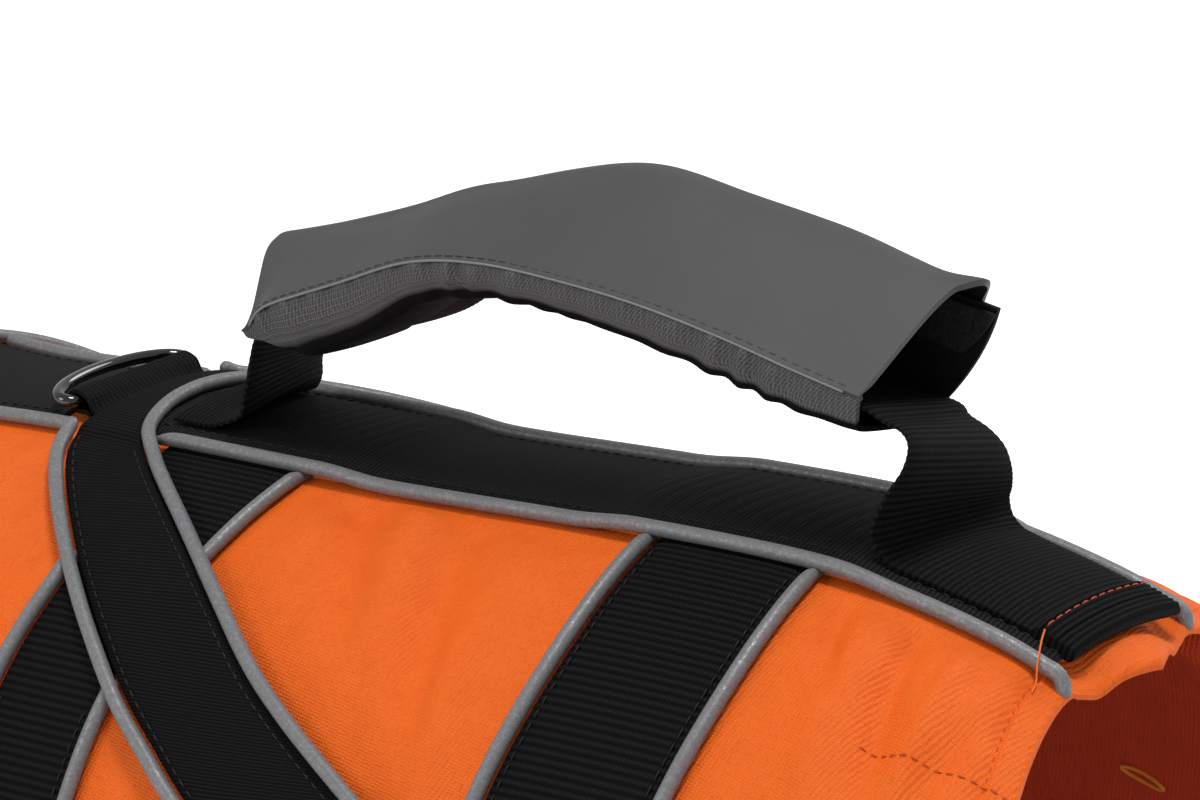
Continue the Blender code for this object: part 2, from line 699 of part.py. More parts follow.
def closing_straps():
    """Three straps that close the jacket below the dog, each with a side-release buckle, fastened."""
    for name, top_x, low_x, sewn, half in CLOSING_STRAPS:
        half_depth = smooth(SECTIONS, low_x, 2)
        half_width = smooth(SECTIONS, low_x, 1)
        height = STRAP_SEAT
        end = math.pi - math.asin((BUCKLE_HALF_LENGTH + 2 * MM) / half_width)
        mean = (half_width + half_depth) / 2
        last = mean * end - (half_depth - half_width) / 4 * math.sin(2 * end)
        for word, side in (("left", -1), ("right", 1)):
            under, over = [], []
            for down in spread(sewn, last, 12):
                middle = top_x + (low_x - top_x) * step((down - sewn) / (last - sewn))
                across = [middle - half, middle + half]
                under.append([skin(x, side * down, height) for x in across])
                over.append([skin(x, side * down, height + WEB) for x in across])
            wall(f"{name}_{word}", under, over, "webbing")
        centre = skin(low_x, last, height + WEB / 2)
        centre.y = 0.0
        mouth = 2 * MM
        wide, deep = BUCKLE_HALF_WIDTH, BUCKLE_HALF_DEPTH
        socket = [
            # reach, half_width, half_depth
            (BUCKLE_HALF_LENGTH, wide - 2 * MM, deep - 1.5 * MM),
            (BUCKLE_HALF_LENGTH - 6 * MM, wide, deep),
            (mouth - 8 * MM, wide, deep),
            (mouth - 8 * MM, wide - 2.5 * MM, deep - 1.8 * MM),
            (BUCKLE_HALF_LENGTH - 9 * MM, wide - 2.5 * MM, deep - 1.8 * MM),
        ]
        plug = [
            # reach, half_width, half_depth
            (BUCKLE_HALF_LENGTH, wide - 2 * MM, deep - 1.5 * MM),
            (BUCKLE_HALF_LENGTH - 6 * MM, wide, deep - 0.5 * MM),
            (8.5 * MM - mouth, wide, deep - 0.5 * MM),
            (8.5 * MM - mouth, wide - 3 * MM, deep - 2.3 * MM),
            (-14 * MM, wide - 3.6 * MM, deep - 2.5 * MM),
        ]
        stepped_block(f"{name}_buckle_socket", centre, -1, socket, "buckle_plastic")
        stepped_block(f"{name}_buckle_plug", centre, 1, plug, "buckle_plastic")


def main():
    for old in list(bpy.data.objects):
        bpy.data.objects.remove(old, do_unlink=True)
    side_panel("side_panel_left", -1)
    side_panel("side_panel_right", 1)
    spine()
    bands()
    neck_piping()
    handle_webbing()
    grip()
    closure_flap()
    ring_loop()
    lead_ring()
    closing_straps()


main()
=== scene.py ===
"""Looks of the dog life jacket: every cloth, webbing, cord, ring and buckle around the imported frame.

Frame: +X to the tail, +Y to the dog's right, +Z up, in metres. The outer cloth is one smooth
surface, skin(x, down, height): place along the back, distance down from the spine, height over it.
"""

import math

import bpy
import numpy as np
from mathutils import Euler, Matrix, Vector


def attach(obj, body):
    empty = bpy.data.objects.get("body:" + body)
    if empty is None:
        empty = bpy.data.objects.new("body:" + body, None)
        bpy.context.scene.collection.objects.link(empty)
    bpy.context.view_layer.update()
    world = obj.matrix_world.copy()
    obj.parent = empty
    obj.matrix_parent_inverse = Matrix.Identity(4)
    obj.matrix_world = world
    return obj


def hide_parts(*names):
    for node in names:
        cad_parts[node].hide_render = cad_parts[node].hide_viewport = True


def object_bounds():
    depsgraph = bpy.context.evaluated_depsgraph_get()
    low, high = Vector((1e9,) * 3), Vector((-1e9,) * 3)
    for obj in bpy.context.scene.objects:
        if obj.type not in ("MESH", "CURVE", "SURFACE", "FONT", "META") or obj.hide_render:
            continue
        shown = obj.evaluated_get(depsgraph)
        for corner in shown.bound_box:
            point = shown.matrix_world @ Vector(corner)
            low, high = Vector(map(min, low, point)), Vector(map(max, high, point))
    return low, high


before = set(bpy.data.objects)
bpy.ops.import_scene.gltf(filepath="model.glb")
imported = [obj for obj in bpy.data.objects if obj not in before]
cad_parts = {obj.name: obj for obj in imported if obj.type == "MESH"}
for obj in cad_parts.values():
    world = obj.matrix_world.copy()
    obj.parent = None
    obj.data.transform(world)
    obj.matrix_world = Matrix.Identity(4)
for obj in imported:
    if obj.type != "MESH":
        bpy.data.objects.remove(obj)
cad_box = [list(corner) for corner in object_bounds()]
rng = np.random.default_rng(4)

MM = 0.001

# Camera
CAMERA_AT = (0.58229, -0.78245, 0.32129)
CAMERA_AZIMUTH = math.radians(36.37)
CAMERA_DOWN = math.radians(17.18)
CAMERA_ROLL = math.radians(-0.16)
CAMERA_LENS = 142.26
SENSOR = 36.0

# Cloth and webbing
GAP = 0.3 * MM
WEB = 1.2 * MM
LAYER = WEB + GAP
CLOTH = 2.5 * MM
FOAM = 7.5 * MM
PIPING_RADIUS = 1.7 * MM
PIPING_SEAT = PIPING_RADIUS + GAP
PIPING_REACH = PIPING_RADIUS + 0.25 * MM

# Spine
SPINE_HALF = 23.5 * MM
SPINE_STRIP_HALF = SPINE_HALF - PIPING_REACH
SPINE_FRONT = -0.1885
STRIP_FRONT = -0.1905
RING_FOLD_FRONT = -0.1325
STRIP_REAR_START = -0.1135
SPINE_REAR = 0.1325

SECTIONS = [
    # x, half_width, half_depth, crest
    (-0.230, 0.0985, 0.1045, -0.0010),
    (-0.200, 0.1005, 0.1075, -0.0036),
    (-0.170, 0.1025, 0.1105, -0.0046),
    (-0.130, 0.1038, 0.1126, -0.0021),
    (-0.080, 0.1038, 0.1126, -0.0005),
    (-0.030, 0.1038, 0.1126, 0.0009),
    (0.020, 0.1038, 0.1126, 0.0037),
    (0.070, 0.1038, 0.1126, 0.0054),
    (0.095, 0.1038, 0.1126, 0.0041),
    (0.120, 0.1036, 0.1122, -0.0005),
    (0.135, 0.1034, 0.1118, -0.0052),
    (0.150, 0.1030, 0.1112, -0.0110),
]
PANEL_EDGES = [
    # down, neck, tail
    (0.000, -0.222, 0.1455),
    (0.020, -0.220, 0.1385),
    (0.035, -0.217, 0.1388),
    (0.060, -0.208, 0.1438),
    (0.100, -0.192, 0.1440),
    (0.140, -0.176, 0.1400),
    (0.180, -0.148, 0.1300),
    (0.210, -0.118, 0.1130),
    (0.225, -0.098, 0.0980),
]
PANEL_BOTTOM = 0.225

# Bands: lines of their two pipings
YOKE = [
    # front_x, front_down, rear_x, rear_down
    (-0.1225, 0.0000, -0.1085, 0.0000),
    (-0.1228, 0.0120, -0.1072, 0.0110),
    (-0.1235, 0.0235, -0.1025, 0.0227),
    (-0.1202, 0.0340, -0.0940, 0.0310),
    (-0.1117, 0.0449, -0.0858, 0.0376),
    (-0.0994, 0.0578, -0.0683, 0.0506),
    (-0.0854, 0.0713, -0.0500, 0.0645),
    (-0.0719, 0.0834, -0.0323, 0.0780),
    (-0.0608, 0.0929, -0.0181, 0.0871),
    (-0.0498, 0.1008, -0.0047, 0.0948),
    (-0.0364, 0.1102, 0.0088, 0.1022),
    (-0.0050, 0.1300, 0.0215, 0.1092),
    (0.0298, 0.1476, 0.0298, 0.1143),
]
CHEST_BAND = [
    # front_x, front_down, rear_x, rear_down
    (-0.1000, 0.0000, -0.0560, 0.0000),
    (-0.0990, 0.0235, -0.0570, 0.0235),
    (-0.0965, 0.0450, -0.0598, 0.0450),
    (-0.0950, 0.0630, -0.0625, 0.0630),
    (-0.0972, 0.0840, -0.0655, 0.0840),
    (-0.0990, 0.1100, -0.0671, 0.1100),
    (-0.1005, 0.1500, -0.0685, 0.1500),
    (-0.1000, 0.2200, -0.0680, 0.2200),
]
REAR_BAND = [
    # front_x, front_down, rear_x, rear_down
    (0.0365, 0.0000, 0.0781, 0.0000),
    (0.0368, 0.0235, 0.0785, 0.0235),
    (0.0376, 0.0600, 0.0794, 0.0600),
    (0.0350, 0.1000, 0.0770, 0.1000),
    (0.0325, 0.1500, 0.0745, 0.1500),
    (0.0310, 0.2200, 0.0730, 0.2200),
]
NECK_BAND = [
    # front_x, front_down, rear_x, rear_down
    (-0.2190, 0.0000, -0.1960, 0.0000),
    (-0.2150, 0.0300, -0.1910, 0.0300),
    (-0.2050, 0.0600, -0.1800, 0.0600),
    (-0.1890, 0.1000, -0.1640, 0.1000),
    (-0.1730, 0.1400, -0.1480, 0.1400),
    (-0.1690, 0.1500, -0.1440, 0.1500),
]
BAND_START = SPINE_HALF + 2 * PIPING_RADIUS + GAP
RAMP = 6 * MM
SOFT_RAMP = 18 * MM
LIFT_MARGIN = 4 * MM
NECK_SEAT = 0.6 * MM
NECK_BAND_END = 0.150

# Handle webbing: middle of its thickness, from each foot to the grip
HANDLE_HALF = 18.2 * MM
HANDLE_WEB = 1.5 * MM
FRONT_FOOT = [
    # x, z, lead of the left edge, rise of the left edge, drop of both edges
    (-0.0860, 0.0052, 1.5, 0.0, 1.5),
    (-0.0834, 0.0068, 3.2, 0.0, 0.6),
    (-0.0828, 0.0098, 3.8, 0.5, 0.0),
    (-0.0818, 0.0135, 4.0, 1.2, 0.0),
    (-0.0800, 0.0175, 3.4, 2.4, 0.0),
    (-0.0768, 0.0214, 2.0, 3.6, 0.0),
    (-0.0708, 0.0242, 0.6, 4.0, 0.0),
]
REAR_FOOT = [
    # x, z, lead of the left edge, rise of the left edge, drop of both edges
    (0.0890, 0.0318, 1.2, 4.2, 0.0),
    (0.0934, 0.0302, 1.0, 4.6, 0.0),
    (0.0962, 0.0272, 0.0, 4.6, 0.0),
    (0.0964, 0.0224, -1.6, 4.0, 0.0),
    (0.0945, 0.0174, -3.7, 2.8, 0.0),
    (0.0926, 0.0124, -5.0, 0.6, 0.0),
    (0.0935, 0.0088, -5.0, 0.2, 0.3),
    (0.0965, 0.0070, -4.6, 0.0, 1.2),
    (0.1010, 0.0066, -3.2, 0.0, 1.8),
]
FOOT_DROP = 1.8
FOOT_SEAT = 3.1 * MM
FRONT_LYING = [
    # x, lead of the left edge
    (-0.1000, 0.0),
    (-0.0900, 0.0),
]
REAR_LYING = [
    # x, lead of the left edge
    (0.1060, -2.4),
    (0.1120, -2.0),
    (0.1190, -1.7),
    (0.1260, -1.6),
    (0.1320, -1.6),
    (0.1373, -1.6),
]
GRIP_SEAT = 0.9 * MM
GRIP_TILT = 4.0

# Grip sleeve: foot of its left side, pitch, and how far its seam and its crest stand above that
SLEEVE = [
    # x, z, pitch, seam, crest
    (-0.0775, 0.0237, 26.0, 6.5, 20.0),
    (-0.0630, 0.0244, 25.0, 11.7, 23.7),
    (-0.0450, 0.0314, 22.0, 12.0, 22.3),
    (-0.0280, 0.0419, 12.0, 8.7, 18.7),
    (-0.0100, 0.0454, 4.0, 7.9, 21.2),
    (0.0100, 0.0449, -2.0, 8.0, 25.5),
    (0.0300, 0.0424, -8.0, 8.8, 26.0),
    (0.0500, 0.0386, -11.0, 9.3, 26.5),
    (0.0680, 0.0349, -11.5, 9.2, 26.3),
    (0.0840, 0.0332, -10.0, 7.8, 25.0),
]
SLEEVE_WALL = 1.5 * MM
UNDERSIDE_WALL = 1.2 * MM
SEAM_SIDE = -20.5 * MM
CREST_SIDE = 12.5 * MM
BACK_SIDE = 22.5 * MM
UNDERSIDE_START = 0.8
UNDERSIDE_SPANS = 8
FLAP_FROM = 6
FLAP_OVERHANG = 6 * MM
FLAP_LEAN = 9 * MM

# Lead ring and its loop
RING_BAR_X = -0.1285
RING_WIRE = 1.5 * MM
RING_HALF = 21.0 * MM
RING_CORNER = 2.5 * MM
RING_DEPTH = 10.0 * MM
RING_PITCH = math.radians(8.0)
RING_SEAT = 3.1 * MM
LOOP_WEB = 1.0 * MM
LOOP_HALF = 19.0 * MM
LOOP_TAIL = 12.0 * MM
YOKE_OVER_LOOP = 2.9 * MM

CLOSING_STRAPS = [
    # name, x at the top, x at the buckle, sewn from, half width
    ("chest_strap", -0.1600, -0.1500, 0.138, 0.0090),
    ("front_belly_strap", -0.0842, -0.0842, 0.178, 0.0125),
    ("rear_belly_strap", 0.0520, 0.0520, 0.178, 0.0125),
]
STRAP_SEAT = 2.2 * MM
BUCKLE_HALF_LENGTH = 28.0 * MM

# Pitch of what repeats
BAND_RIB = 1.9 * MM
HANDLE_RIB = 1.4 * MM
YOKE_RIB = 1.2 * MM
STRIP_RIB = 1.1 * MM
STITCH = 3.3 * MM
INSIDE = 1.0  # added across the cloth, in metres, on faces that lie on the inside of a piece
SHARP_FROM = math.radians(60)


# --- Curves and surfaces ---------------------------------------------------------------------


def smooth(table, at, column):
    """A column of a table as a smooth curve over the table's first column."""
    rows = np.array(sorted(table), float)
    xs, ys = rows[:, 0], rows[:, column]
    last = len(xs) - 1
    at = np.clip(np.asarray(at, float), xs[0], xs[-1])
    i = np.clip(np.searchsorted(xs, at, side="right") - 1, 0, last - 1)
    low, high = np.maximum(np.arange(last + 1) - 1, 0), np.minimum(np.arange(last + 1) + 1, last)
    slope = (ys[high] - ys[low]) / (xs[high] - xs[low])
    span = xs[i + 1] - xs[i]
    t = (at - xs[i]) / span
    return (
        (2 * t**3 - 3 * t**2 + 1) * ys[i]
        + (t**3 - 2 * t**2 + t) * span * slope[i]
        + (3 * t**2 - 2 * t**3) * ys[i + 1]
        + (t**3 - t**2) * span * slope[i + 1]
    )


def numbered(table):
    """The table with the number of each row before it."""
    return [(float(number), *row) for number, row in enumerate(table)]


def step(value):
    """0 up to 0 and 1 from 1, with a soft step between."""
    value = np.clip(value, 0.0, 1.0)
    return value * value * (3 - 2 * value)


def skin(x, down, height=0.0):
    """The point at x, at a signed distance down from the spine, and a height out of the outer cloth."""
    x, down, height = np.broadcast_arrays(*(np.asarray(value, float) for value in (x, down, height)))
    half_width = smooth(SECTIONS, x, 1)
    half_depth = smooth(SECTIONS, x, 2)
    mean = (half_width + half_depth) / 2
    swing = (half_depth - half_width) / 4
    angle = abs(down) / mean
    for _ in range(4):
        angle = angle - (mean * angle - swing * np.sin(2 * angle) - abs(down)) / mean
    out_y, out_z = np.sin(angle) / half_width, np.cos(angle) / half_depth
    size = np.hypot(out_y, out_z)
    y = half_width * np.sin(angle) + height * out_y / size
    z = smooth(SECTIONS, x, 3) + half_depth * (np.cos(angle) - 1) + height * out_z / size
    return np.stack([x, np.copysign(y, down), z], -1)


def unit(vectors):
    return vectors / np.maximum(np.linalg.norm(vectors, axis=-1, keepdims=True), 1e-12)


def along_of(route):
    """Distance along a route of points."""
    return np.concatenate([[0.0], np.cumsum(np.linalg.norm(np.diff(route, axis=0), axis=1))])


def between_points(p0, p1, p2, p3, t):
    """The smooth curve from p1 to p2 at share t, with p0 before them and p3 after them."""
    return 0.5 * (
        2 * p1
        + (p2 - p0) * t
        + (2 * p0 - 5 * p1 + 4 * p2 - p3) * t**2
        + (3 * p1 - p0 - 3 * p2 + p3) * t**3
    )


def resampled(route, spacing):
    """The same route with evenly spaced points, on a smooth curve through its own."""
    route = np.asarray(route, float)
    before = np.vstack([2 * route[0] - route[1], route, 2 * route[-1] - route[-2]])
    fine = []
    for p0, p1, p2, p3 in zip(before, before[1:], before[2:], before[3:]):
        t = np.linspace(0, 1, 12, endpoint=False)[:, None]
        fine.append(between_points(p0, p1, p2, p3, t))
    fine = np.vstack([*fine, route[-1:]])
    along = along_of(fine)
    places = np.linspace(0, along[-1], max(int(along[-1] / spacing), 3))
    return np.stack([np.interp(places, along, fine[:, k]) for k in range(3)], 1)


def ribs(along, pitch):
    """Rounded cords across a webbing: 1 on a cord's top and 0 between cords."""
    return abs(np.sin(math.pi * along / pitch)) ** 0.8


# --- Meshes ----------------------------------------------------------------------------------


def outward(points, faces):
    """The quads turned so that a closed mesh faces out."""
    a, b, c, d = (points[faces[:, k]] for k in range(4))
    volume = np.einsum("ij,ij->", a, np.cross(b, c)) + np.einsum("ij,ij->", a, np.cross(c, d))
    return faces if volume > 0 else faces[:, ::-1]


def piece(name, points, faces, finish, slot, uv=None, stands_for=(), body="jacket", inside_faces=0):
    """A closed mesh of quads as a piece of the jacket.

    uv holds metres along and across its cloth. The first inside_faces quads lie on the inside of it.
    """
    mesh = bpy.data.meshes.new(name)
    mesh.from_pydata(points.tolist(), [], outward(points, faces).tolist())
    mesh.update()
    if uv is not None:
        corner = np.empty(len(mesh.loops), np.int32)
        mesh.loops.foreach_get("vertex_index", corner)
        place = uv[corner].astype(np.float32)
        place[: 4 * inside_faces, 1] += INSIDE
        mesh.uv_layers.new(name="cloth").uv.foreach_set("vector", place.ravel())
    mesh.shade_smooth()
    mesh.set_sharp_from_angle(angle=SHARP_FROM)
    mesh.materials.append(finish)
    made = bpy.data.objects.new(name, mesh)
    bpy.context.scene.collection.objects.link(made)
    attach(made, body)
    if stands_for:
        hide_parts(*stands_for)
    return made


def wall(under, over):
    """Points and quads of a closed sheet between two grids."""
    rows, columns = under.shape[:2]
    i, j = np.meshgrid(np.arange(rows - 1), np.arange(columns - 1), indexing="ij")
    a = (i * columns + j).ravel()
    face = np.stack([a, a + 1, a + columns + 1, a + columns], 1)
    half = rows * columns
    rim = [(0, k) for k in range(columns - 1)] + [(k, columns - 1) for k in range(rows - 1)]
    rim += [(rows - 1, k) for k in range(columns - 1, 0, -1)] + [(k, 0) for k in range(rows - 1, 0, -1)]
    edge = np.array([p * columns + q for p, q in rim])
    after = np.roll(edge, -1)
    sides = np.stack([edge, after, after + half, edge + half], 1)
    points = np.concatenate([under.reshape(-1, 3), over.reshape(-1, 3)])
    return points, np.concatenate([face[:, ::-1], face + half, sides[:, ::-1]])


def wall_piece(name, under, over, finish, slot, uv, **more):
    """A closed sheet between two grids as a piece."""
    points, faces = wall(under, over)
    uv = uv.reshape(-1, 2)
    return piece(name, points, faces, finish, slot, np.concatenate([uv, uv]), **more)


def tube(route, radius, sides=14, closed=False):
    """Points, quads and cloth coordinates of a round cord along a route.

    radius may differ at each point.
    """
    count = len(route)
    if closed:
        ahead, behind = np.roll(route, -1, axis=0), np.roll(route, 1, axis=0)
    else:
        ahead = np.vstack([route[1:], 2 * route[-1] - route[-2]])
        behind = np.vstack([2 * route[0] - route[1], route[:-1]])
    tangent = unit(ahead - behind)
    helper = np.array([0.0, 0.0, 1.0]) if abs(tangent[0, 2]) < 0.8 else np.array([0.0, 1.0, 0.0])
    normal = unit(helper - tangent[0] * (tangent[0] @ helper))
    normals = []
    for way in tangent:
        normal = normal - way * (normal @ way)
        normal = normal / np.linalg.norm(normal)
        normals.append(normal)
    normals = np.array(normals)
    side = np.cross(tangent, normals)
    turn = np.arange(sides) * 2 * math.pi / sides
    radius = np.broadcast_to(np.asarray(radius, float), count)[:, None, None]
    ring = np.cos(turn)[None, :, None] * normals[:, None] + np.sin(turn)[None, :, None] * side[:, None]
    points = route[:, None] + radius * ring
    along = along_of(route)
    uv = np.stack(np.broadcast_arrays(along[:, None], turn[None] * PIPING_RADIUS), -1)
    i, j = np.meshgrid(np.arange(count if closed else count - 1), np.arange(sides), indexing="ij")
    k, m = (i + 1) % count, (j + 1) % sides
    faces = np.stack([i * sides + j, i * sides + m, k * sides + m, k * sides + j], -1).reshape(-1, 4)
    return points.reshape(-1, 3), faces, uv.reshape(-1, 2)


ROUND_END = [
    # reach past the end, radius, as shares of the cord's radius
    (0.55, 0.85),
    (0.85, 0.55),
    (1.00, 0.02),
]


def cord(name, route, radius, finish, slot, sides=14, closed=False, **more):
    """A round cord as a piece. Open ends are rounded off to a small point."""
    size = np.full(len(route), float(radius)) if np.isscalar(radius) else np.asarray(radius, float)
    if not closed:
        first, last = unit(route[1] - route[0]), unit(route[-1] - route[-2])
        head = [route[0] - first * size[0] * reach for reach, _ in reversed(ROUND_END)]
        foot = [route[-1] + last * size[-1] * reach for reach, _ in ROUND_END]
        route = np.vstack([head, route, foot])
        head_size = [size[0] * share for _, share in reversed(ROUND_END)]
        foot_size = [size[-1] * share for _, share in ROUND_END]
        size = np.concatenate([head_size, size, foot_size])
    points, faces, uv = tube(route, size, sides, closed)
    if not closed:
        last = len(route) - 1
        for row in (0, last):
            ring = row * sides + np.arange(sides)
            k = np.arange(sides // 2 - 1)
            cap = np.stack([ring[k], ring[k + 1], ring[sides - 2 - k], ring[sides - 1 - k]], 1)
            faces = np.concatenate([faces, cap[:, ::-1] if row == 0 else cap])
    return piece(name, points, faces, finish, slot, uv, **more)


def joined(parts):
    """Several (points, quads) as one."""
    points, faces, start = [], [], 0
    for some, quads in parts:
        points.append(some)
        faces.append(quads + start)
        start += len(some)
    return np.concatenate(points), np.concatenate(faces)


STITCH_SIDES = 6
STITCH_SPANS = 5


def stitch_run(route, out, pitch=STITCH, length=2.5 * MM, radius=0.24 * MM, rise=0.14 * MM):
    """Points and quads of a line of stitches along a route. out gives the cloth's normal at each point."""
    along = along_of(route)
    starts = np.arange(pitch * 0.4, along[-1] - length, pitch)
    share = np.linspace(0, 1, STITCH_SPANS + 1)
    at = starts[:, None] + share[None] * length
    spot = np.stack([np.interp(at, along, route[:, k]) for k in range(3)], -1)
    normal = unit(np.stack([np.interp(at, along, out[:, k]) for k in range(3)], -1))
    way = unit(spot[:, -1:] - spot[:, :1]) * np.ones_like(spot)
    side = unit(np.cross(normal, way))
    bow = 1 - (2 * share - 1) ** 4
    turn = np.arange(STITCH_SIDES) * math.pi / (STITCH_SIDES / 2)
    size = radius * (0.35 + 0.65 * bow)
    middle = spot + normal * (rise * (2 * bow - 1))[None, :, None]
    ring = np.cos(turn)[:, None] * normal[:, :, None] + np.sin(turn)[:, None] * side[:, :, None]
    points = middle[:, :, None] + size[None, :, None, None] * ring
    i, j = np.meshgrid(np.arange(STITCH_SPANS), np.arange(STITCH_SIDES), indexing="ij")
    here, beside = i * STITCH_SIDES + j, i * STITCH_SIDES + (j + 1) % STITCH_SIDES
    one = np.stack([here, beside, beside + STITCH_SIDES, here + STITCH_SIDES], -1).reshape(-1, 4)
    half = np.array([(3, 2, 1, 0), (0, 5, 4, 3)])
    far = half[:, ::-1] + STITCH_SPANS * STITCH_SIDES
    one = np.concatenate([one, half, far])
    count = STITCH_SIDES * (STITCH_SPANS + 1)
    faces = (one[None] + (np.arange(len(starts)) * count)[:, None, None]).reshape(-1, 4)
    return points.reshape(-1, 3), faces


# --- Finishes --------------------------------------------------------------------------------


class Value:
    """A socket of a finish. Sums written on it become Math nodes."""

    def __init__(self, finish, socket):
        self.finish = finish
        self.socket = socket

    def sum(self, operation, *terms):
        return self.finish.node("ShaderNodeMath", {"operation": operation}, dict(enumerate(terms)))

    def __add__(self, other):
        return self.sum("ADD", self, other)

    def __sub__(self, other):
        return self.sum("SUBTRACT", self, other)

    def __rsub__(self, other):
        return self.sum("SUBTRACT", other, self)

    def __mul__(self, other):
        return self.sum("MULTIPLY", self, other)

    def __pow__(self, other):
        return self.sum("POWER", self, other)

    def __abs__(self):
        return self.sum("ABSOLUTE", self)

    __radd__ = __add__
    __rmul__ = __mul__

    def sine(self):
        return self.sum("SINE", self)


class Finish:
    """A material made from its nodes, with a Principled shader at its end."""

    def __init__(self, name, roughness=0.7, gloss=0.5, **constants):
        self.material = bpy.data.materials.new(name)
        self.material.use_nodes = True
        self.tree = self.material.node_tree
        self.shader = self.tree.nodes["Principled BSDF"]
        self.shader.inputs["Roughness"].default_value = roughness
        self.shader.inputs["Specular IOR Level"].default_value = gloss
        for socket, value in constants.items():
            self.shader.inputs[socket.replace("_", " ").title()].default_value = value

    def node(self, kind, settings=None, values=None, out=0):
        """Adds a node: its type, its settings, and the values or links of its sockets."""
        made = self.tree.nodes.new(kind)
        for setting, value in (settings or {}).items():
            if setting == "stops":
                while len(made.color_ramp.elements) < len(value):
                    made.color_ramp.elements.new(0.5)
                for element, (place, colour) in zip(made.color_ramp.elements, value):
                    element.position = place
                    element.color = (*colour, 1)
            else:
                setattr(made, setting, value)
        for socket, value in (values or {}).items():
            self.feed(made.inputs[socket], value)
        return Value(self, made.outputs[out])

    def feed(self, socket, value):
        if isinstance(value, Value):
            self.tree.links.new(value.socket, socket)
        else:
            socket.default_value = value

    def set(self, socket, value):
        self.feed(self.shader.inputs[socket], value)

    def cloth(self):
        """Millimetres along and across the cloth."""
        place = self.node("ShaderNodeUVMap", {"uv_map": "cloth"})
        split = self.node("ShaderNodeSeparateXYZ", None, {0: place})
        across = Value(self, split.socket.node.outputs[1])
        return split * 1000.0, across * 1000.0

    def place(self):
        return self.node("ShaderNodeTexCoord", None, None, "Object")

    def point(self, x, y):
        return self.node("ShaderNodeCombineXYZ", None, {0: x, 1: y})

    def noise(self, where, scale, detail=2.0, roughness=0.5):
        values = {"Vector": where, "Scale": scale, "Detail": detail, "Roughness": roughness}
        return self.node("ShaderNodeTexNoise", None, values, "Fac")

    def between(self, value, low, high):
        """0 at low, 1 at high, with a soft step between."""
        values = {"Value": value, "From Min": low, "From Max": high}
        return self.node("ShaderNodeMapRange", {"interpolation_type": "SMOOTHSTEP"}, values)

    def mix(self, share, first, second):
        values = {0: share, 6: (*first, 1) if isinstance(first, tuple) else first}
        values[7] = (*second, 1) if isinstance(second, tuple) else second
        return self.node("ShaderNodeMix", {"data_type": "RGBA"}, values, 2)

    def bump(self, height, depth, below=None):
        """Height from 0 to 1, over a depth in metres."""
        values = {"Height": height, "Distance": depth}
        if below:
            values["Normal"] = below
        return self.node("ShaderNodeBump", None, values)


def wave(value, pitch):
    """0 to 1 and back over each pitch."""
    return (value * (2 * math.pi / pitch)).sine() * 0.5 + 0.5


def ripstop_grid(finish, along, across, pitch, edge):
    """1 on the thicker threads of a square grid at a pitch, and 0 between them."""
    first = finish.between(abs(wave(along, pitch) - 0.5), edge, 0.5)
    second = finish.between(abs(wave(across, pitch) - 0.5), edge, 0.5)
    return first.sum("MAXIMUM", first, second)


def on_inside(finish, across):
    """1 on the faces that lie on the inside of a piece."""
    return finish.between(across, 500.0 * INSIDE, 600.0 * INSIDE)


def shell_nylon():
    """Orange nylon with slanting threads and a faint ripstop grid. Its inside faces are painted darker red,
    as painted shade inside the jacket.
    """
    finish = Finish("shell_nylon", roughness=0.62, gloss=0.28)
    along, down = finish.cloth()
    spot = finish.point(along, down)
    drift = finish.noise(spot, 0.16, 2.0)
    jitter = finish.noise(spot, 0.9, 2.0)
    slant = along + down * 0.24 + jitter * 0.3 + drift * 0.7
    rows = wave(slant, 1.05)
    picks = wave(down - along * 0.2 + jitter * 0.25, 0.72)
    weave = rows * picks + rows * 0.25
    grid = ripstop_grid(finish, along, down, 5.2, 0.485)
    fibre = finish.noise(spot, 7.0, 2.0)
    shade = weave * 0.26 + drift * 0.44 + fibre * 0.30
    outside = finish.mix(shade, (0.70, 0.092, 0.003), (0.92, 0.162, 0.008))
    # painted shade: the inside faces get a darker red orange that stands in for the shade inside the jacket
    painted_shade_inside = finish.mix(shade, (0.36, 0.021, 0.0005), (0.56, 0.044, 0.0015))
    finish.set("Base Color", finish.mix(on_inside(finish, down), outside, painted_shade_inside))
    low = finish.bump(weave + grid * 0.35, 0.16 * MM)
    finish.set("Normal", finish.bump(fibre, 0.05 * MM, low))
    finish.set("Roughness", 0.7 - shade * 0.16)
    return finish.material


# painted shade and highlight: the first colour below is the shade painted into the hollows between cords,
# the second the highlight painted on cord tops
BLACK_HOLLOW_SHADE = (0.0010, 0.0010, 0.0012)
BLACK_LIT = (0.0130, 0.0130, 0.0138)


def webbing(name, rib, thread, depth=0.2 * MM, dark=BLACK_HOLLOW_SHADE, light=BLACK_LIT):
    """Black webbing: cords across it at one pitch, and the threads over them at another, in millimetres."""
    finish = Finish(name, roughness=0.72, gloss=0.07)
    along, across = finish.cloth()
    spot = finish.point(along, across)
    half_turn = (along * (math.pi / rib)).sine()
    cords = abs(half_turn)
    threads = wave(across + finish.noise(spot, 0.8) * 0.5, thread)
    steep = half_turn * 40.0
    stagger = steep.sum("MINIMUM", 1.0, steep)
    beads = abs(threads - 0.5 + stagger.sum("MAXIMUM", stagger, -1.0) * 0.12)
    fibre = finish.noise(spot, 6.0, 3.0, 0.6)
    high = cords * 0.6 + threads * cords * 0.4
    # painted highlight and shade: cord tops and beads are painted lighter, the hollows between cords darker
    lit = high ** 2.2 * (fibre * 0.8 + 0.5) + fibre * beads * 0.25
    finish.set("Base Color", finish.mix(lit, dark, light))
    low = finish.bump(high, depth)
    finish.set("Normal", finish.bump(fibre, 0.06 * MM, low))
    finish.set("Roughness", 0.8 - fibre * 0.2)
    return finish.material


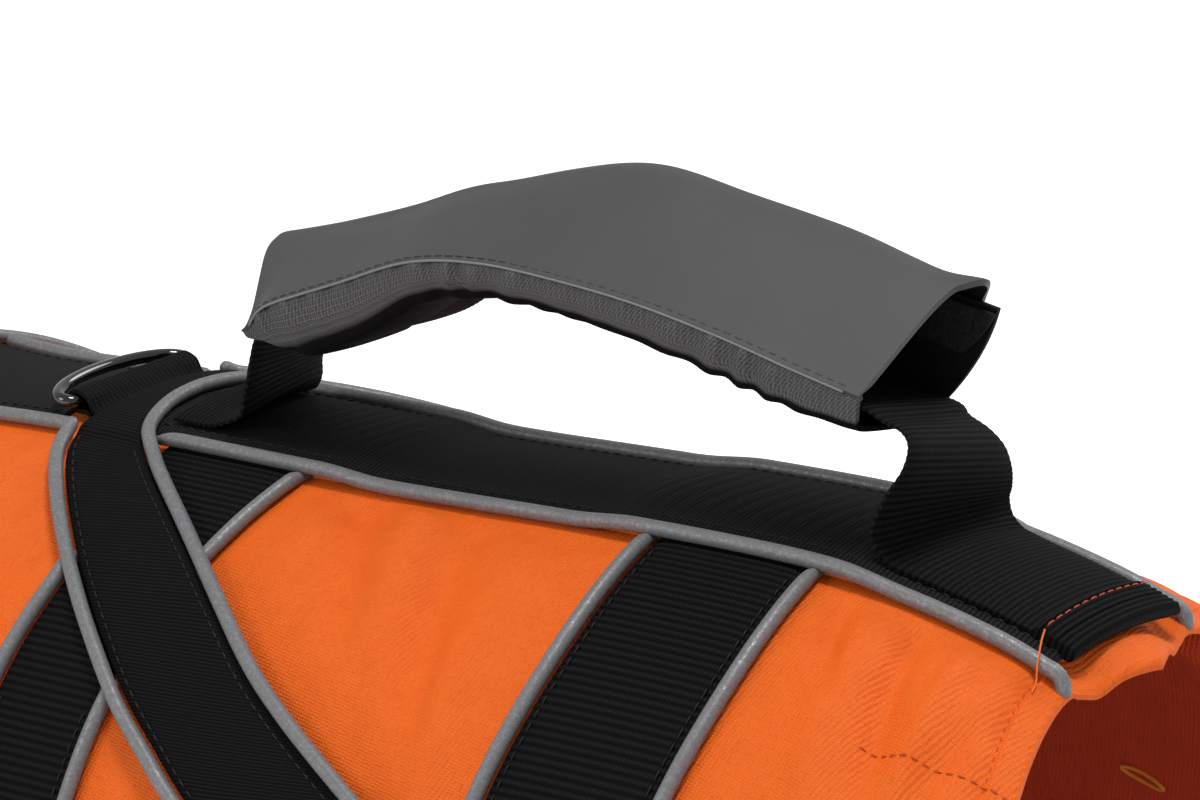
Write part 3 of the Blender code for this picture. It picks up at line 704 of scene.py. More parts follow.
def reflective_piping():
    """Grey cord cover with tiny beads in it that catch the light."""
    finish = Finish("reflective_piping", roughness=0.45)
    where = finish.place()
    grain = finish.noise(where, 2600.0, 2.0, 0.7)
    patch = finish.noise(where, 900.0, 3.0, 0.6)
    glint = finish.between(grain * 0.55 + patch * 0.45, 0.44, 0.66)
    finish.set("Base Color", finish.mix(glint, (0.145, 0.145, 0.15), (0.25, 0.25, 0.26)))
    finish.set("Roughness", 0.50 - glint * 0.15)
    finish.set("Metallic", glint * 0.3)
    finish.set("Normal", finish.bump(grain * 0.6 + patch * 0.4, 0.05 * MM))
    return finish.material


def grip_laminate():
    """Smooth dark grey laminated cloth with a fine grain, and black on its inside."""
    finish = Finish("grip_laminate", roughness=0.55, gloss=0.35)
    where = finish.place()
    grain = finish.noise(where, 1900.0, 2.0, 0.6)
    patch = finish.noise(where, 45.0, 3.0, 0.55)
    _, across = finish.cloth()
    outside = finish.mix(patch * 0.6 + grain * 0.4, (0.047, 0.047, 0.049), (0.073, 0.073, 0.075))
    finish.set("Base Color", finish.mix(on_inside(finish, across), outside, (0.005, 0.005, 0.0055)))
    finish.set("Roughness", 0.42 + grain * 0.2 + patch * 0.12)
    finish.set("Normal", finish.bump(grain, 0.05 * MM))
    return finish.material


NEAR_LINING = 16.0  # millimetres of the underside, from its seam, that are grey


def grip_ripstop():
    """Dark grey ripstop with a square grid of thicker threads. Its far part is plain black."""
    finish = Finish("grip_ripstop", roughness=0.85, gloss=0.04)
    along, across = finish.cloth()
    spot = finish.point(along, across)
    jitter = finish.noise(spot, 1.2) * 0.25
    weave = wave(along + across * 0.35 + jitter, 0.85) * (wave(across + jitter, 0.8) * 0.6 + 0.4)
    grid = ripstop_grid(finish, along, across, 3.0, 0.44) * 0.22
    fibre = finish.noise(spot, 5.0, 3.0, 0.6)
    grey = finish.mix(weave * 0.5 + grid + fibre * 0.2, (0.038, 0.038, 0.040), (0.200, 0.200, 0.203))
    far = finish.between(across, NEAR_LINING, NEAR_LINING + 2.0)
    finish.set("Base Color", finish.mix(far, grey, (0.006, 0.006, 0.0065)))
    finish.set("Normal", finish.bump(weave + grid * 0.5 + fibre * 0.3, 0.12 * MM))
    return finish.material


def soft_black(name, scale, depth, roughness, dark, light):
    """Plain black cloth, or hook tape where scale and depth are coarse."""
    finish = Finish(name, roughness=roughness, gloss=0.10)
    where = finish.place()
    grain = finish.noise(where, scale, 3.0, 0.65)
    finish.set("Base Color", finish.mix(grain, dark, light))
    finish.set("Normal", finish.bump(grain, depth))
    return finish.material


def gloss_black():
    """Thick gloss coating on the ring."""
    finish = Finish("gloss_black_ring", roughness=0.08, coat_weight=1.0, coat_roughness=0.04)
    where = finish.place()
    scuff = finish.between(finish.noise(where, 300.0, 4.0, 0.7), 0.55, 0.8)
    finish.set("Base Color", finish.mix(scuff, (0.003, 0.003, 0.0035), (0.012, 0.012, 0.013)))
    finish.set("Roughness", 0.08 + scuff * 0.14)
    return finish.material


def moulded_black():
    """Buckle plastic with a fine matt grain."""
    finish = Finish("moulded_black", roughness=0.38)
    where = finish.place()
    grain = finish.noise(where, 900.0, 2.0, 0.5)
    patch = finish.noise(where, 60.0, 2.0, 0.5)
    finish.set("Base Color", finish.mix(patch, (0.009, 0.009, 0.010), (0.016, 0.016, 0.017)))
    finish.set("Roughness", 0.32 + patch * 0.14)
    finish.set("Normal", finish.bump(grain, 0.03 * MM))
    return finish.material


def thread(name, dark, light):
    """Twisted sewing thread."""
    finish = Finish(name, roughness=0.55, gloss=0.3)
    where = finish.place()
    twist = finish.noise(where, 3500.0, 2.0, 0.6)
    finish.set("Base Color", finish.mix(twist, dark, light))
    finish.set("Normal", finish.bump(twist, 0.06 * MM))
    return finish.material


SHADE_ENDS = (0.38, 0.62)  # metres from the origin over which the floor goes from dark to white


def studio_white(name):
    """White that glows a little, and dark under the jacket so that its inside stays dim."""
    finish = Finish(name, roughness=0.9, emission_color=(1, 1, 1, 1), emission_strength=0.6)
    cloud = finish.noise(finish.place(), 2.0, 2.0, 0.5)
    away = finish.node("ShaderNodeVectorMath", {"operation": "LENGTH"}, {0: finish.place()}, "Value")
    clear = finish.between(away, *SHADE_ENDS)
    white = finish.mix(cloud, (0.93, 0.93, 0.93), (0.96, 0.96, 0.96))
    finish.set("Base Color", finish.mix(clear, (0.25, 0.25, 0.25), white))
    finish.set("Emission Color", finish.mix(clear, (0.0, 0.0, 0.0), (1.0, 1.0, 1.0)))
    return finish.material


ORANGE = shell_nylon()
BAND_WEB = webbing("band_webbing", BAND_RIB / MM, 0.85)
HANDLE_WEBBING = webbing("handle_webbing_cloth", HANDLE_RIB / MM, 0.7)
YOKE_WEB = webbing("shoulder_webbing", YOKE_RIB / MM, 0.6, 0.08 * MM)
# painted sheen: the spine strip's colours are lighter than the other webbings' to stand in for the sheen it
# shows at a grazing angle
STRIP_WEB = webbing(
    "spine_webbing", STRIP_RIB / MM, 0.55, 0.07 * MM, (0.0040, 0.0040, 0.0043), (0.0310, 0.0310, 0.0320)
)
PIPING = reflective_piping()
LAMINATE = grip_laminate()
RIPSTOP = grip_ripstop()
FLAP_CLOTH = soft_black(
    "flap_cloth", 1500.0, 0.06 * MM, 0.7, (0.006, 0.006, 0.0065), (0.012, 0.012, 0.013)
)
HOOK_TAPE = soft_black(
    "hook_tape_face", 1100.0, 0.6 * MM, 0.85, (0.001, 0.001, 0.001), (0.034, 0.034, 0.035)
)
GLOSS = gloss_black()
MOULDED = moulded_black()
RUST_THREAD = thread("rust_thread", (0.36, 0.036, 0.005), (0.60, 0.085, 0.013))
BLACK_THREAD = thread("black_thread", (0.002, 0.002, 0.002), (0.007, 0.007, 0.0075))
GREY_THREAD = thread("grey_thread", (0.050, 0.050, 0.051), (0.080, 0.080, 0.082))
SEAM_THREAD = thread("seam_thread", (0.12, 0.12, 0.122), (0.26, 0.26, 0.265))
AMBER_THREAD = thread("amber_thread", (0.45, 0.13, 0.01), (0.80, 0.30, 0.04))
ORANGE_THREAD = thread("orange_thread", (0.62, 0.09, 0.006), (0.95, 0.22, 0.02))


# --- Side panels -----------------------------------------------------------------------------

# Soft creases in a side panel: a ridge stands out and a trough goes in
CREASES = [
    # x, down, half_length, half_width, height, turn
    (-0.030, 0.040, 26.0, 5.5, -1.5, 62.0),
    (-0.014, 0.045, 30.0, 6.0, 1.1, 66.0),
    (0.004, 0.060, 34.0, 6.0, -1.3, 70.0),
    (0.018, 0.085, 30.0, 5.0, 1.0, 78.0),
    (-0.045, 0.075, 20.0, 4.5, -1.1, 50.0),
    (0.000, 0.100, 26.0, 7.0, -0.5, 84.0),
    (0.093, 0.042, 14.0, 3.2, -1.2, 66.0),
    (0.101, 0.060, 24.0, 4.0, 0.8, 72.0),
    (0.110, 0.048, 22.0, 3.4, -1.4, 76.0),
    (0.120, 0.046, 18.0, 2.8, 0.9, 84.0),
    (0.126, 0.066, 22.0, 3.2, -0.8, 96.0),
    (0.134, 0.090, 26.0, 3.6, 0.7, 88.0),
    (0.098, 0.100, 30.0, 6.0, -0.6, 80.0),
    (0.116, 0.130, 26.0, 5.0, 0.6, 94.0),
    (-0.140, 0.050, 22.0, 5.0, -0.8, 100.0),
    (-0.155, 0.070, 26.0, 6.0, 0.7, 96.0),
    (-0.170, 0.040, 16.0, 4.0, -0.6, 84.0),
    (-0.135, 0.095, 24.0, 6.0, -0.7, 110.0),
    (-0.112, 0.075, 16.0, 4.0, -0.7, 116.0),
    (-0.118, 0.130, 26.0, 6.0, 0.6, 84.0),
    (-0.040, 0.150, 28.0, 6.0, -0.8, 30.0),
    (-0.020, 0.175, 30.0, 5.0, 0.7, 14.0),
    (0.010, 0.190, 30.0, 5.0, -0.7, 4.0),
    (0.100, 0.165, 22.0, 5.0, -0.7, 140.0),
    (0.104, 0.190, 18.0, 4.0, 0.6, 150.0),
    (-0.120, 0.170, 22.0, 5.0, -0.7, 40.0),
]
# Loose cloth of the tail, where no foam fills it
TAIL_FOLDS = [
    # x, down, half_length, half_width, height, turn
    (0.142, 0.0165, 11.0, 5.5, -3.2, 12.0),
    (0.143, 0.0000, 10.0, 6.0, 1.0, 180.0),
    (0.136, 0.0330, 12.0, 4.0, -1.1, 80.0),
    (0.128, 0.0400, 14.0, 3.6, 0.9, 75.0),
]
PILLOW = 1.9 * MM
HEM_WIDTH = 6.4 * MM
HEM_RISE = 0.75 * MM
HEM_FROM = 21.5 * MM
HEM_GROOVE = 0.7 * MM
EDGE_ROUND = 0.9 * MM
RIGHT_CHANGE = 0.6
RIPPLE = 0.6


def inside_of(x, down, band):
    """Distance out of a band, negative inside it."""
    front = np.array([row[:2] for row in band])
    rear = np.array([row[2:] for row in band])
    outline = np.vstack([front, rear[::-1]])
    distance = np.full(x.shape, 1.0)
    inside = np.zeros(x.shape, bool)
    for (ax, ay), (bx, by) in zip(outline, np.roll(outline, -1, axis=0)):
        length = max((bx - ax) ** 2 + (by - ay) ** 2, 1e-12)
        share = np.clip(((x - ax) * (bx - ax) + (down - ay) * (by - ay)) / length, 0, 1)
        gap = np.hypot(x - ax - share * (bx - ax), down - ay - share * (by - ay))
        distance = np.minimum(distance, gap)
        crosses = (ay > down) != (by > down)
        inside ^= crosses & (x < ax + (down - ay) * (bx - ax) / (by - ay if by != ay else 1.0))
    return np.where(inside, -distance, distance)


def creased(x, down, table):
    """Sum of the soft ridges and troughs of a table, in metres."""
    total = np.zeros(x.shape)
    for at_x, at_down, half_length, half_width, height, turn in table:
        way = math.radians(turn)
        dx, dy = (x - at_x) / MM, (down - at_down) / MM
        along = dx * math.cos(way) + dy * math.sin(way)
        across = dy * math.cos(way) - dx * math.sin(way)
        across = across + 0.012 * along**2 / half_width
        total += height * MM * np.exp(-((across / half_width) ** 2) - (along / half_length) ** 4)
    return total


def thickness(x, down):
    """Wall of a side panel: cloth at its edges and at the tail, foam between."""
    tail_foam = 0.093 + 0.044 * step((down - 0.050) / 0.012)
    neck = smooth(PANEL_EDGES, down, 1)
    padded = (
        step((down - 0.026) / 0.014)
        * step((PANEL_BOTTOM - 0.005 - down) / 0.018)
        * step((x - neck - 0.028) / 0.018)
        * step((tail_foam - x) / 0.018)
    )
    return CLOTH + FOAM * padded


def relief(x, down, change):
    """Height of a panel's outer cloth over the smooth surface."""
    clear = np.full(x.shape, 1.0)
    for band in (YOKE, CHEST_BAND, REAR_BAND):
        clear = np.minimum(clear, inside_of(x, down, band))
    neck = [row for row in NECK_BAND if row[1] <= NECK_BAND_END]
    clear = np.minimum(clear, inside_of(x, down, neck))
    clear = np.minimum(clear, down - SPINE_HALF)
    tail = smooth(PANEL_EDGES, down, 2)
    edge = np.minimum(tail - x, PANEL_BOTTOM - down)
    puff = PILLOW * step((clear - 1.5 * MM) / (20 * MM)) * step(edge / (16 * MM))
    free = step((clear - 1.0 * MM) / (7 * MM))
    change = change * step((down - 4 * MM) / (14 * MM))
    flatter = change * step((x - 0.085) / 0.02)
    upper = step((0.130 - down) / 0.020)
    depth = 1.4 + 0.8 * upper * (1 - 1.6 * change) + change * 0.3 - 1.9 * flatter
    folds = creased(x + change * 3 * MM, down, CREASES) * depth
    loose = creased(x, down - change * 2 * MM, TAIL_FOLDS) * step((x - 0.118) / 0.010)
    hemmed = step((down - HEM_FROM) / (1.5 * MM))
    hem = HEM_RISE * step((HEM_WIDTH - (tail - x)) / (0.9 * MM)) * hemmed
    groove = HEM_GROOVE * np.exp(-(((tail - x - HEM_WIDTH - 0.4 * MM) / (0.9 * MM)) ** 2)) * hemmed
    rounded = EDGE_ROUND * np.clip(1 - (tail - x) / EDGE_ROUND, 0, 1) ** 2
    return puff * (1 - 1.2 * flatter) + folds * free + loose - groove + hem - rounded


def change_of(side):
    """How far the creases of a side differ from those of the left side."""
    return 0.0 if side < 0 else RIGHT_CHANGE


PANEL_ROWS = 178
PANEL_COLUMNS = 180


def side_panel(word, side):
    """One side of the shell: orange cloth outside, its inner cloth inside and foam between them."""
    change = change_of(side)
    down = np.linspace(0.01 * MM, PANEL_BOTTOM, PANEL_ROWS)[:, None]
    share = 1 - (1 - np.linspace(0, 1, PANEL_COLUMNS)[None]) ** 1.4  # closer together toward the tail
    neck, tail = smooth(PANEL_EDGES, down, 1), smooth(PANEL_EDGES, down, 2)
    x = neck + (tail - neck) * share
    down = np.broadcast_to(down, x.shape)
    lifted = relief(x, down, change)
    outer = skin(x, side * down, lifted)
    hollow = thickness(x, down) * (1 - 0.55 * step(1 - (tail - x) / (5 * MM)))
    ripple = creased(x - 4 * MM, down + 6 * MM, CREASES) * RIPPLE * step((tail - x) / (12 * MM))
    inner = skin(x, side * down, ripple - hollow)
    near_edge = step(1 - (tail - x) / (26 * MM))[..., None]
    inner = inner + (skin(x, side * down, lifted - hollow) - inner) * near_edge
    uv = np.stack([x, down], -1)
    made = wall_piece(
        f"side_panel_{word}_cloth", inner, outer, ORANGE, "shell_cloth", uv,
        stands_for=(f"side_panel_{word}",), inside_faces=(PANEL_ROWS - 1) * (PANEL_COLUMNS - 1),
    )


for word, side in (("left", -1), ("right", 1)):
    side_panel(word, side)


# --- Spine and bands -------------------------------------------------------------------------


def lift(x, ramp=RAMP):
    """How far the spine strip and its pipings are lifted where they cross the two bands below them."""
    raised = np.zeros(np.shape(x))
    for band in (CHEST_BAND, REAR_BAND):
        front = band[1][0] - LIFT_MARGIN
        rear = band[1][2] + LIFT_MARGIN
        raised = raised + step((x - front) / ramp + 1) * step((rear - x) / ramp + 1)
    return LAYER * raised


def selvage(share):
    """Rounded long edges of a webbing: 1 inside and lower at share 0 and 1."""
    return 1 - abs(2 * share - 1) ** 14 * 0.55


TICK_WIDTH = 3.2 * MM
TICK_PITCH = 1.35 * MM
RIDGE = 0.30 * MM
RIDGE_PITCH = 4.6 * MM


def spine_strip(name, first, last):
    """A length of the spine strip, ticked along its edges and ridged where a band lies under it."""
    share = np.linspace(0, 1, 26)[None]
    x = np.linspace(first, last, int((last - first) / (0.45 * MM)))[:, None]
    down = -SPINE_STRIP_HALF + 2 * SPINE_STRIP_HALF * share
    edge = np.clip(1 - (1 - abs(2 * share - 1)) * SPINE_STRIP_HALF / TICK_WIDTH, 0, 1)
    ticks = 0.16 * MM * (ribs(x, TICK_PITCH) - 0.5) * (edge > 0.05) * np.sin(math.pi * edge) ** 0.5
    raised = lift(x, SOFT_RAMP)
    inside = step(1.6 - abs(2 * share - 1) * 1.6)
    ridge = RIDGE * (ribs(x + 0.0012 * np.sin(share * 7), RIDGE_PITCH) - 0.5) * (raised / LAYER) * inside
    fine = 0.09 * MM * (ribs(x, STRIP_RIB) - 0.5) * (edge < 0.05)
    under = skin(x, down, GAP + raised)
    over = skin(x, down, GAP + raised + WEB * selvage(share) + ridge + fine + ticks)
    uv = np.stack(np.broadcast_arrays(x, down), -1)
    made = wall_piece(f"{name}_cloth", under, over, STRIP_WEB, "webbing", uv, stands_for=(name,))


spine_strip("spine_strip_front", STRIP_FRONT, RING_FOLD_FRONT)
spine_strip("spine_strip", STRIP_REAR_START, SPINE_REAR)


def edge_of(band, place, rear, inset):
    """Points of a band's long edge, moved in towards the band: place along the back, distance down."""
    rows = numbered(band)
    column = 3 if rear else 1
    last = len(band) - 1

    def spot(at):
        return np.stack([smooth(rows, at, column), smooth(rows, at, column + 1)], -1)

    way = unit(spot(np.minimum(place + 0.1, last)) - spot(np.maximum(place - 0.1, 0)))
    across = np.stack([-way[..., 1], way[..., 0]] if rear else [way[..., 1], -way[..., 0]], -1)
    return spot(place) + across * inset


def places_down(band, first, last, count):
    """Places along a band, evenly between two distances down from the spine."""
    rows = sorted((row[1], float(number)) for number, row in enumerate(band))
    return smooth(rows, np.linspace(first, last, count), 1)


def both_sides(places):
    """The places from the left end over the spine to the right end, and the side of each."""
    side = np.concatenate([-np.ones(len(places)), np.ones(len(places) - 1)])
    return np.concatenate([places[::-1], places[1:]]), side


def band_body(name, band, places, height, finish, rib, depth, columns=14):
    """A webbing between its two pipings, from the left end over the spine to the right end."""
    places, side = both_sides(places)
    front = edge_of(band, places, False, PIPING_REACH)
    rear = edge_of(band, places, True, PIPING_REACH)
    share = np.linspace(0, 1, columns)[None, :, None]
    spot = front[:, None] + (rear - front)[:, None] * share
    x, down = spot[..., 0], np.maximum(spot[..., 1], 1e-7)
    down_signed = side[:, None] * down
    raised = height(x, down)
    middle = skin(x[:, columns // 2], down_signed[:, columns // 2])
    along = along_of(middle)
    cords = ribs(along, rib)[:, None] * np.ones_like(x)
    share = share[..., 0]
    crown = WEB * selvage(share)
    under = skin(x, down_signed, raised)
    fade = np.sin(math.pi * np.clip(share, 0.03, 0.97)) ** 0.3
    over = skin(x, down_signed, raised + crown + depth * (cords - 0.5) * fade)
    width = np.linalg.norm(rear - front, axis=1)
    uv = np.stack(np.broadcast_arrays(along[:, None], share * width.mean()), -1)
    made = wall_piece(f"{name}_cloth", under, over, finish, "webbing", uv, stands_for=(name,))
    area = float(((width[1:] + width[:-1]) / 2 * np.diff(along)).sum())
    return made


def flat_height(x, down):
    """The chest and rear bands lie straight on the panels."""
    return np.full(np.shape(x), GAP)


def neck_height(x, down):
    """The neck band is wrapped round the panels' front edge."""
    return np.full(np.shape(x), NECK_SEAT)


def yoke_height(x, down):
    """The yoke lies on the panels and the chest band, and over the ring's loop at the spine."""
    over_spine = step((SPINE_HALF + 5 * MM - down) / (4 * MM))
    return GAP + LAYER + (YOKE_OVER_LOOP - GAP - LAYER) * over_spine


BAND_LAST = PANEL_BOTTOM - 5 * MM
for name, band in (("chest_band", CHEST_BAND), ("rear_band", REAR_BAND)):
    band_body(name, band, places_down(band, 0, BAND_LAST, 520), flat_height, BAND_WEB, BAND_RIB, 0.34 * MM)
below = places_down(NECK_BAND, 0, NECK_BAND_END, 240)
band_body("neck_band", NECK_BAND, below, neck_height, YOKE_WEB, YOKE_RIB, 0.12 * MM)
below = np.linspace(0, len(YOKE) - 1, 460)
band_body("shoulder_band", YOKE, below, yoke_height, YOKE_WEB, YOKE_RIB, 0.10 * MM, 18)


def wobble(count, amount):
    """Slow uneven change along a cord."""
    knots = rng.normal(0, amount, max(count // 7, 3))
    return np.interp(np.linspace(0, 1, count), np.linspace(0, 1, len(knots)), knots)


def piping(name, route, thin_head=0.0, **more):
    """A piping whose first few millimetres thin down where another lies over them."""
    route = resampled(route, 1.5 * MM)
    size = PIPING_RADIUS * (0.99 + wobble(len(route), 0.010))
    size = size * (1 - thin_head * step(1 - along_of(route) / (6 * MM)))
    cord(f"{name}_cord", route, size, PIPING, "piping", stands_for=(name,), **more)


def band_piping(name, band, places, side, rear, height, under_spine=0):
    """A piping along an edge of a band. With under_spine 1 its head dives under the spine's piping."""
    spot = edge_of(band, places, rear, 0)
    x, down = spot[:, 0], np.maximum(spot[:, 1], 1e-7)
    dive = 1.6 * MM * step((SPINE_HALF + 3.5 * MM - down) / (4 * MM)) * under_spine
    piping(name, skin(x, side * down, height(x, down) + PIPING_RADIUS - dive), 0.45 * under_spine)


YOKE_FRONT_FROM = 2.1  # the yoke's front piping starts past its first rows, which lie under the ring's loop
PIPING_END = 0.1308
TAIL_CURL = [
    # x, down, height
    (0.1332, 0.0236, 2.1),
    (0.1352, 0.0236, 2.2),
    (0.1366, 0.0240, 1.3),
    (0.1370, 0.0246, -0.2),
]


def tail_curl(side):
    """The rear end of a spine piping, curled down over the tail edge."""
    x, down, height = np.array(TAIL_CURL).T
    return skin(x, side * down, height * MM)


for word, side in (("left", -1), ("right", 1)):
    below = places_down(REAR_BAND, SPINE_HALF - 1 * MM, BAND_LAST, 60)
    band_piping(f"rear_band_front_piping_{word}", REAR_BAND, below, side, False, flat_height, 1)
    band_piping(f"rear_band_rear_piping_{word}", REAR_BAND, below, side, True, flat_height, 1)
    above = places_down(CHEST_BAND, SPINE_HALF - 1 * MM, 0.0560, 14)
    band_piping(f"chest_band_top_piping_{word}", CHEST_BAND, above, side, True, flat_height, 1)
    below = places_down(CHEST_BAND, 0.0620, BAND_LAST, 22)
    band_piping(f"chest_band_front_piping_{word}", CHEST_BAND, below, side, False, flat_height)
    below = places_down(CHEST_BAND, 0.0890, BAND_LAST, 20)
    band_piping(f"chest_band_rear_piping_{word}", CHEST_BAND, below, side, True, flat_height)
    rear = np.linspace(0, len(YOKE) - 1, 49)
    front = rear[rear >= YOKE_FRONT_FROM]
    band_piping(f"shoulder_front_piping_{word}", YOKE, front, side, False, yoke_height)
    band_piping(f"shoulder_rear_piping_{word}", YOKE, rear, side, True, yoke_height)
    for end, first, last in (("front", SPINE_FRONT, -0.1270), ("rear", -0.1005, PIPING_END)):
        x = np.linspace(first, last, int((last - first) / (4 * MM)))
        route = skin(x, side * SPINE_HALF, PIPING_SEAT + lift(x, SOFT_RAMP) * 0.85)
        if end == "rear":
            route = np.vstack([route, tail_curl(side)])
            route[:, 2] -= 1.2 * MM * step(1 - (route[:, 0] - x[0]) / (6 * MM))
        piping(f"spine_{end}_piping_{word}", route, 0.4 * (end == "rear"))


def neck_piping():
    """The piping round the rear edge of the neck band, from end to end."""
    places, side = both_sides(places_down(NECK_BAND, 0, NECK_BAND_END, 30))
    spot = edge_of(NECK_BAND, places, True, 0)
    down = side * np.maximum(spot[:, 1], 1e-7)
    piping("neck_piping", skin(spot[:, 0], down, NECK_SEAT + PIPING_RADIUS))


neck_piping()


# --- Handle ----------------------------------------------------------------------------------


def sleeve_row(share):
    """Rows of SLEEVE read smoothly, at shares of its length."""
    rows = numbered(SLEEVE)
    return [smooth(rows, np.asarray(share) * (len(SLEEVE) - 1), column) for column in range(1, 6)]


def sleeve_point(x, z, pitch, side, rise):
    """The point beside and above a place on the grip's base line, which is tipped by a pitch in degrees."""
    pitch = np.radians(pitch)
    side = np.broadcast_to(side, np.broadcast_shapes(np.shape(x), np.shape(side), np.shape(rise)))
    return np.stack(np.broadcast_arrays(x - np.sin(pitch) * rise, side, z + np.cos(pitch) * rise), -1)


def lying(x, lead):
    """A row of the handle's webbing where it lies sewn on the spine strip."""
    return (x, float(smooth(SECTIONS, x, 3) + lift(x) + FOOT_SEAT), lead, 0.0, FOOT_DROP)


def handle_rows():
    """The rows of the handle's webbing: sewn down, up through the grip, and down again."""
    held = []
    for x, z, pitch, _, _ in SLEEVE[1:]:
        spot = sleeve_point(x, z, pitch, 0.0, GRIP_SEAT)
        held.append((spot[0], spot[2], 0.0, GRIP_TILT, 0.0))
    front, rear = ([lying(*place) for place in foot] for foot in (FRONT_LYING, REAR_LYING))
    return numbered([*front, *FRONT_FOOT, *held, *REAR_FOOT, *rear])


def handle_surface(number, share, height):
    """Points of the handle webbing at its row numbers, across it from -1 to 1, off its middle."""
    rows = handle_rows()
    x, z, lead, rise, drop = (smooth(rows, number, column) for column in range(1, 6))
    before, after = np.maximum(number - 0.25, 0), np.minimum(number + 0.25, len(rows) - 1.0)
    way_x = smooth(rows, after, 1) - smooth(rows, before, 1)
    way_z = smooth(rows, after, 2) - smooth(rows, before, 2)
    size = np.hypot(way_x, way_z)
    px = x - share * lead * MM - way_z / size * height
    pz = z - share * rise * MM - share**2 * drop * MM + way_x / size * height
    return np.stack(np.broadcast_arrays(px, share * HANDLE_HALF, pz), -1)


FAR_RISE = 0.8
FOLD_LENGTH = 11 * MM
FOLD_RISE = 1.2 * MM
END_STITCHES_IN = 8.6 * MM


def handle_webbing():
    """Makes the webbing with its rear end folded, and returns the route of the stitches on that."""
    last = len(handle_rows()) - 1.0
    coarse = np.linspace(0, last, 1500)
    along = along_of(handle_surface(coarse, 0.0, 0.0))
    length = along[-1]
    place = np.linspace(0, length, int(length / (0.3 * MM)))
    number = np.interp(place, along, coarse)[:, None]
    share = np.linspace(-1, 1, 16)[None]
    cords = 0.16 * MM * (ribs(place, HANDLE_RIB)[:, None] - 0.5) * np.ones_like(share)
    fold = step((place - (length - FOLD_LENGTH)) / (1.4 * MM))[:, None] * FOLD_RISE
    tip = np.sqrt(np.clip((length - place) / (1.0 * MM), 0.02, 1))[:, None]
    body = HANDLE_WEB / 2 * selvage((share + 1) / 2)
    over = handle_surface(number, share, (body + fold + cords * (1 + 1.6 * fold / FOLD_RISE)) * tip)
    under = handle_surface(number, share, -(body + fold * 0.9 + cords) * tip)
    uv = np.stack(np.broadcast_arrays(place[:, None], share * HANDLE_HALF), -1)
    made = wall_piece(
        "handle_webbing_cloth", under, over, HANDLE_WEBBING, "webbing", uv, stands_for=("handle_webbing",)
    )
    line = np.interp(length - END_STITCHES_IN, along, coarse)
    share = np.linspace(-0.97, 0.97, 60)
    return handle_surface(np.full(len(share), line), share, HANDLE_WEB / 2 + FOLD_RISE + 0.1 * MM)


HANDLE_STITCHES = handle_webbing()


def curve_through(knots, count):
    """Rows of knots (…, K, 2) read smoothly at count places, evenly by knot."""
    total = knots.shape[-2]
    at = np.linspace(0, total - 1, count)
    i = np.clip(at.astype(int), 0, total - 2)
    t = (at - i)[:, None]
    before = 2 * knots[..., :1, :] - knots[..., 1:2, :]
    after = 2 * knots[..., -1:, :] - knots[..., -2:-1, :]
    padded = np.concatenate([before, knots, after], axis=-2)
    p0, p1, p2, p3 = (padded[..., i + k, :] for k in range(4))
    return between_points(p0, p1, p2, p3, t)


def stacked(line):
    """[(side, rise)] whose entries are arrays over the length, as an array (length, knots, 2)."""
    shape = np.broadcast_shapes(*(np.shape(value) for knot in line for value in knot))
    knots = [[np.broadcast_to(value, shape) for value in knot] for knot in line]
    return np.stack([np.stack(knot, -1) for knot in knots], -2)


def far_sag(share):
    """1 where the side of the grip away from the seam hangs full, less where the webbing carries it up."""
    return 1 - FAR_RISE * np.exp(-(((share - 0.22) / 0.15) ** 4))


def over_line(seam, crest, sag):
    """Section of the grip's upper: from its seam up over its crest and down its far side."""
    rise = crest - seam
    return stacked([
        (SEAM_SIDE, seam),
        (SEAM_SIDE + 10 * MM, seam + 0.36 * rise),
        (SEAM_SIDE + 21 * MM, seam + 0.74 * rise),
        (CREST_SIDE - 4 * MM, crest - 0.8 * MM),
        (CREST_SIDE, crest),
        (CREST_SIDE + 5 * MM, crest - 0.8 * MM),
        (BACK_SIDE, crest - 4.5 * MM),
        (BACK_SIDE + 0.5 * MM, crest / 2),
        (BACK_SIDE, crest / 2 - (crest / 2 + 2 * MM) * sag),
    ])


def under_line(seam, sag):
    """Section of the grip's underside: from its seam below the webbing to its far side."""
    return stacked([
        (SEAM_SIDE + 1.6 * MM, seam + 0.1 * MM),
        (SEAM_SIDE + 0.1 * MM, seam - 0.9 * MM),
        (SEAM_SIDE + 0.3 * MM, seam * 0.5),
        (SEAM_SIDE + 1.5 * MM, 0.6 * MM),
        (SEAM_SIDE + 5 * MM, -1.2 * MM),
        (0.0, -1.4 * MM - 3.0 * MM * sag),
        (BACK_SIDE - 5 * MM, 1.6 * MM - 9.0 * MM * sag),
        (BACK_SIDE - 2.6 * MM, 3.0 * MM - 9.6 * MM * sag),
        (BACK_SIDE - 1.9 * MM, 5.0 * MM - 9.4 * MM * sag),
    ])


def offset_line(line, amount):
    """The line moved to its left, by an amount at each of its points."""
    first = line[..., 1:2, :] - line[..., :1, :]
    last = line[..., -1:, :] - line[..., -2:-1, :]
    way = unit(np.concatenate([first, line[..., 2:, :] - line[..., :-2, :], last], axis=-2))
    left = np.stack([-way[..., 1], way[..., 0]], -1)
    return line + left * amount[..., None]


def end_pull(share, over_crest):
    """How far the front end of the grip is drawn back and down at its seam, and forward at its crest."""
    near_end = np.exp(-((share / 0.055) ** 2))
    pull_x = (3.4 - 8.8 * over_crest) * MM * near_end
    return np.stack([pull_x, 0 * pull_x, (-2.7 + 0.9 * over_crest) * MM * near_end], -1)


GRIP_ROWS = 260
UPPER_COLUMNS = 64
UNDER_COLUMNS = 44


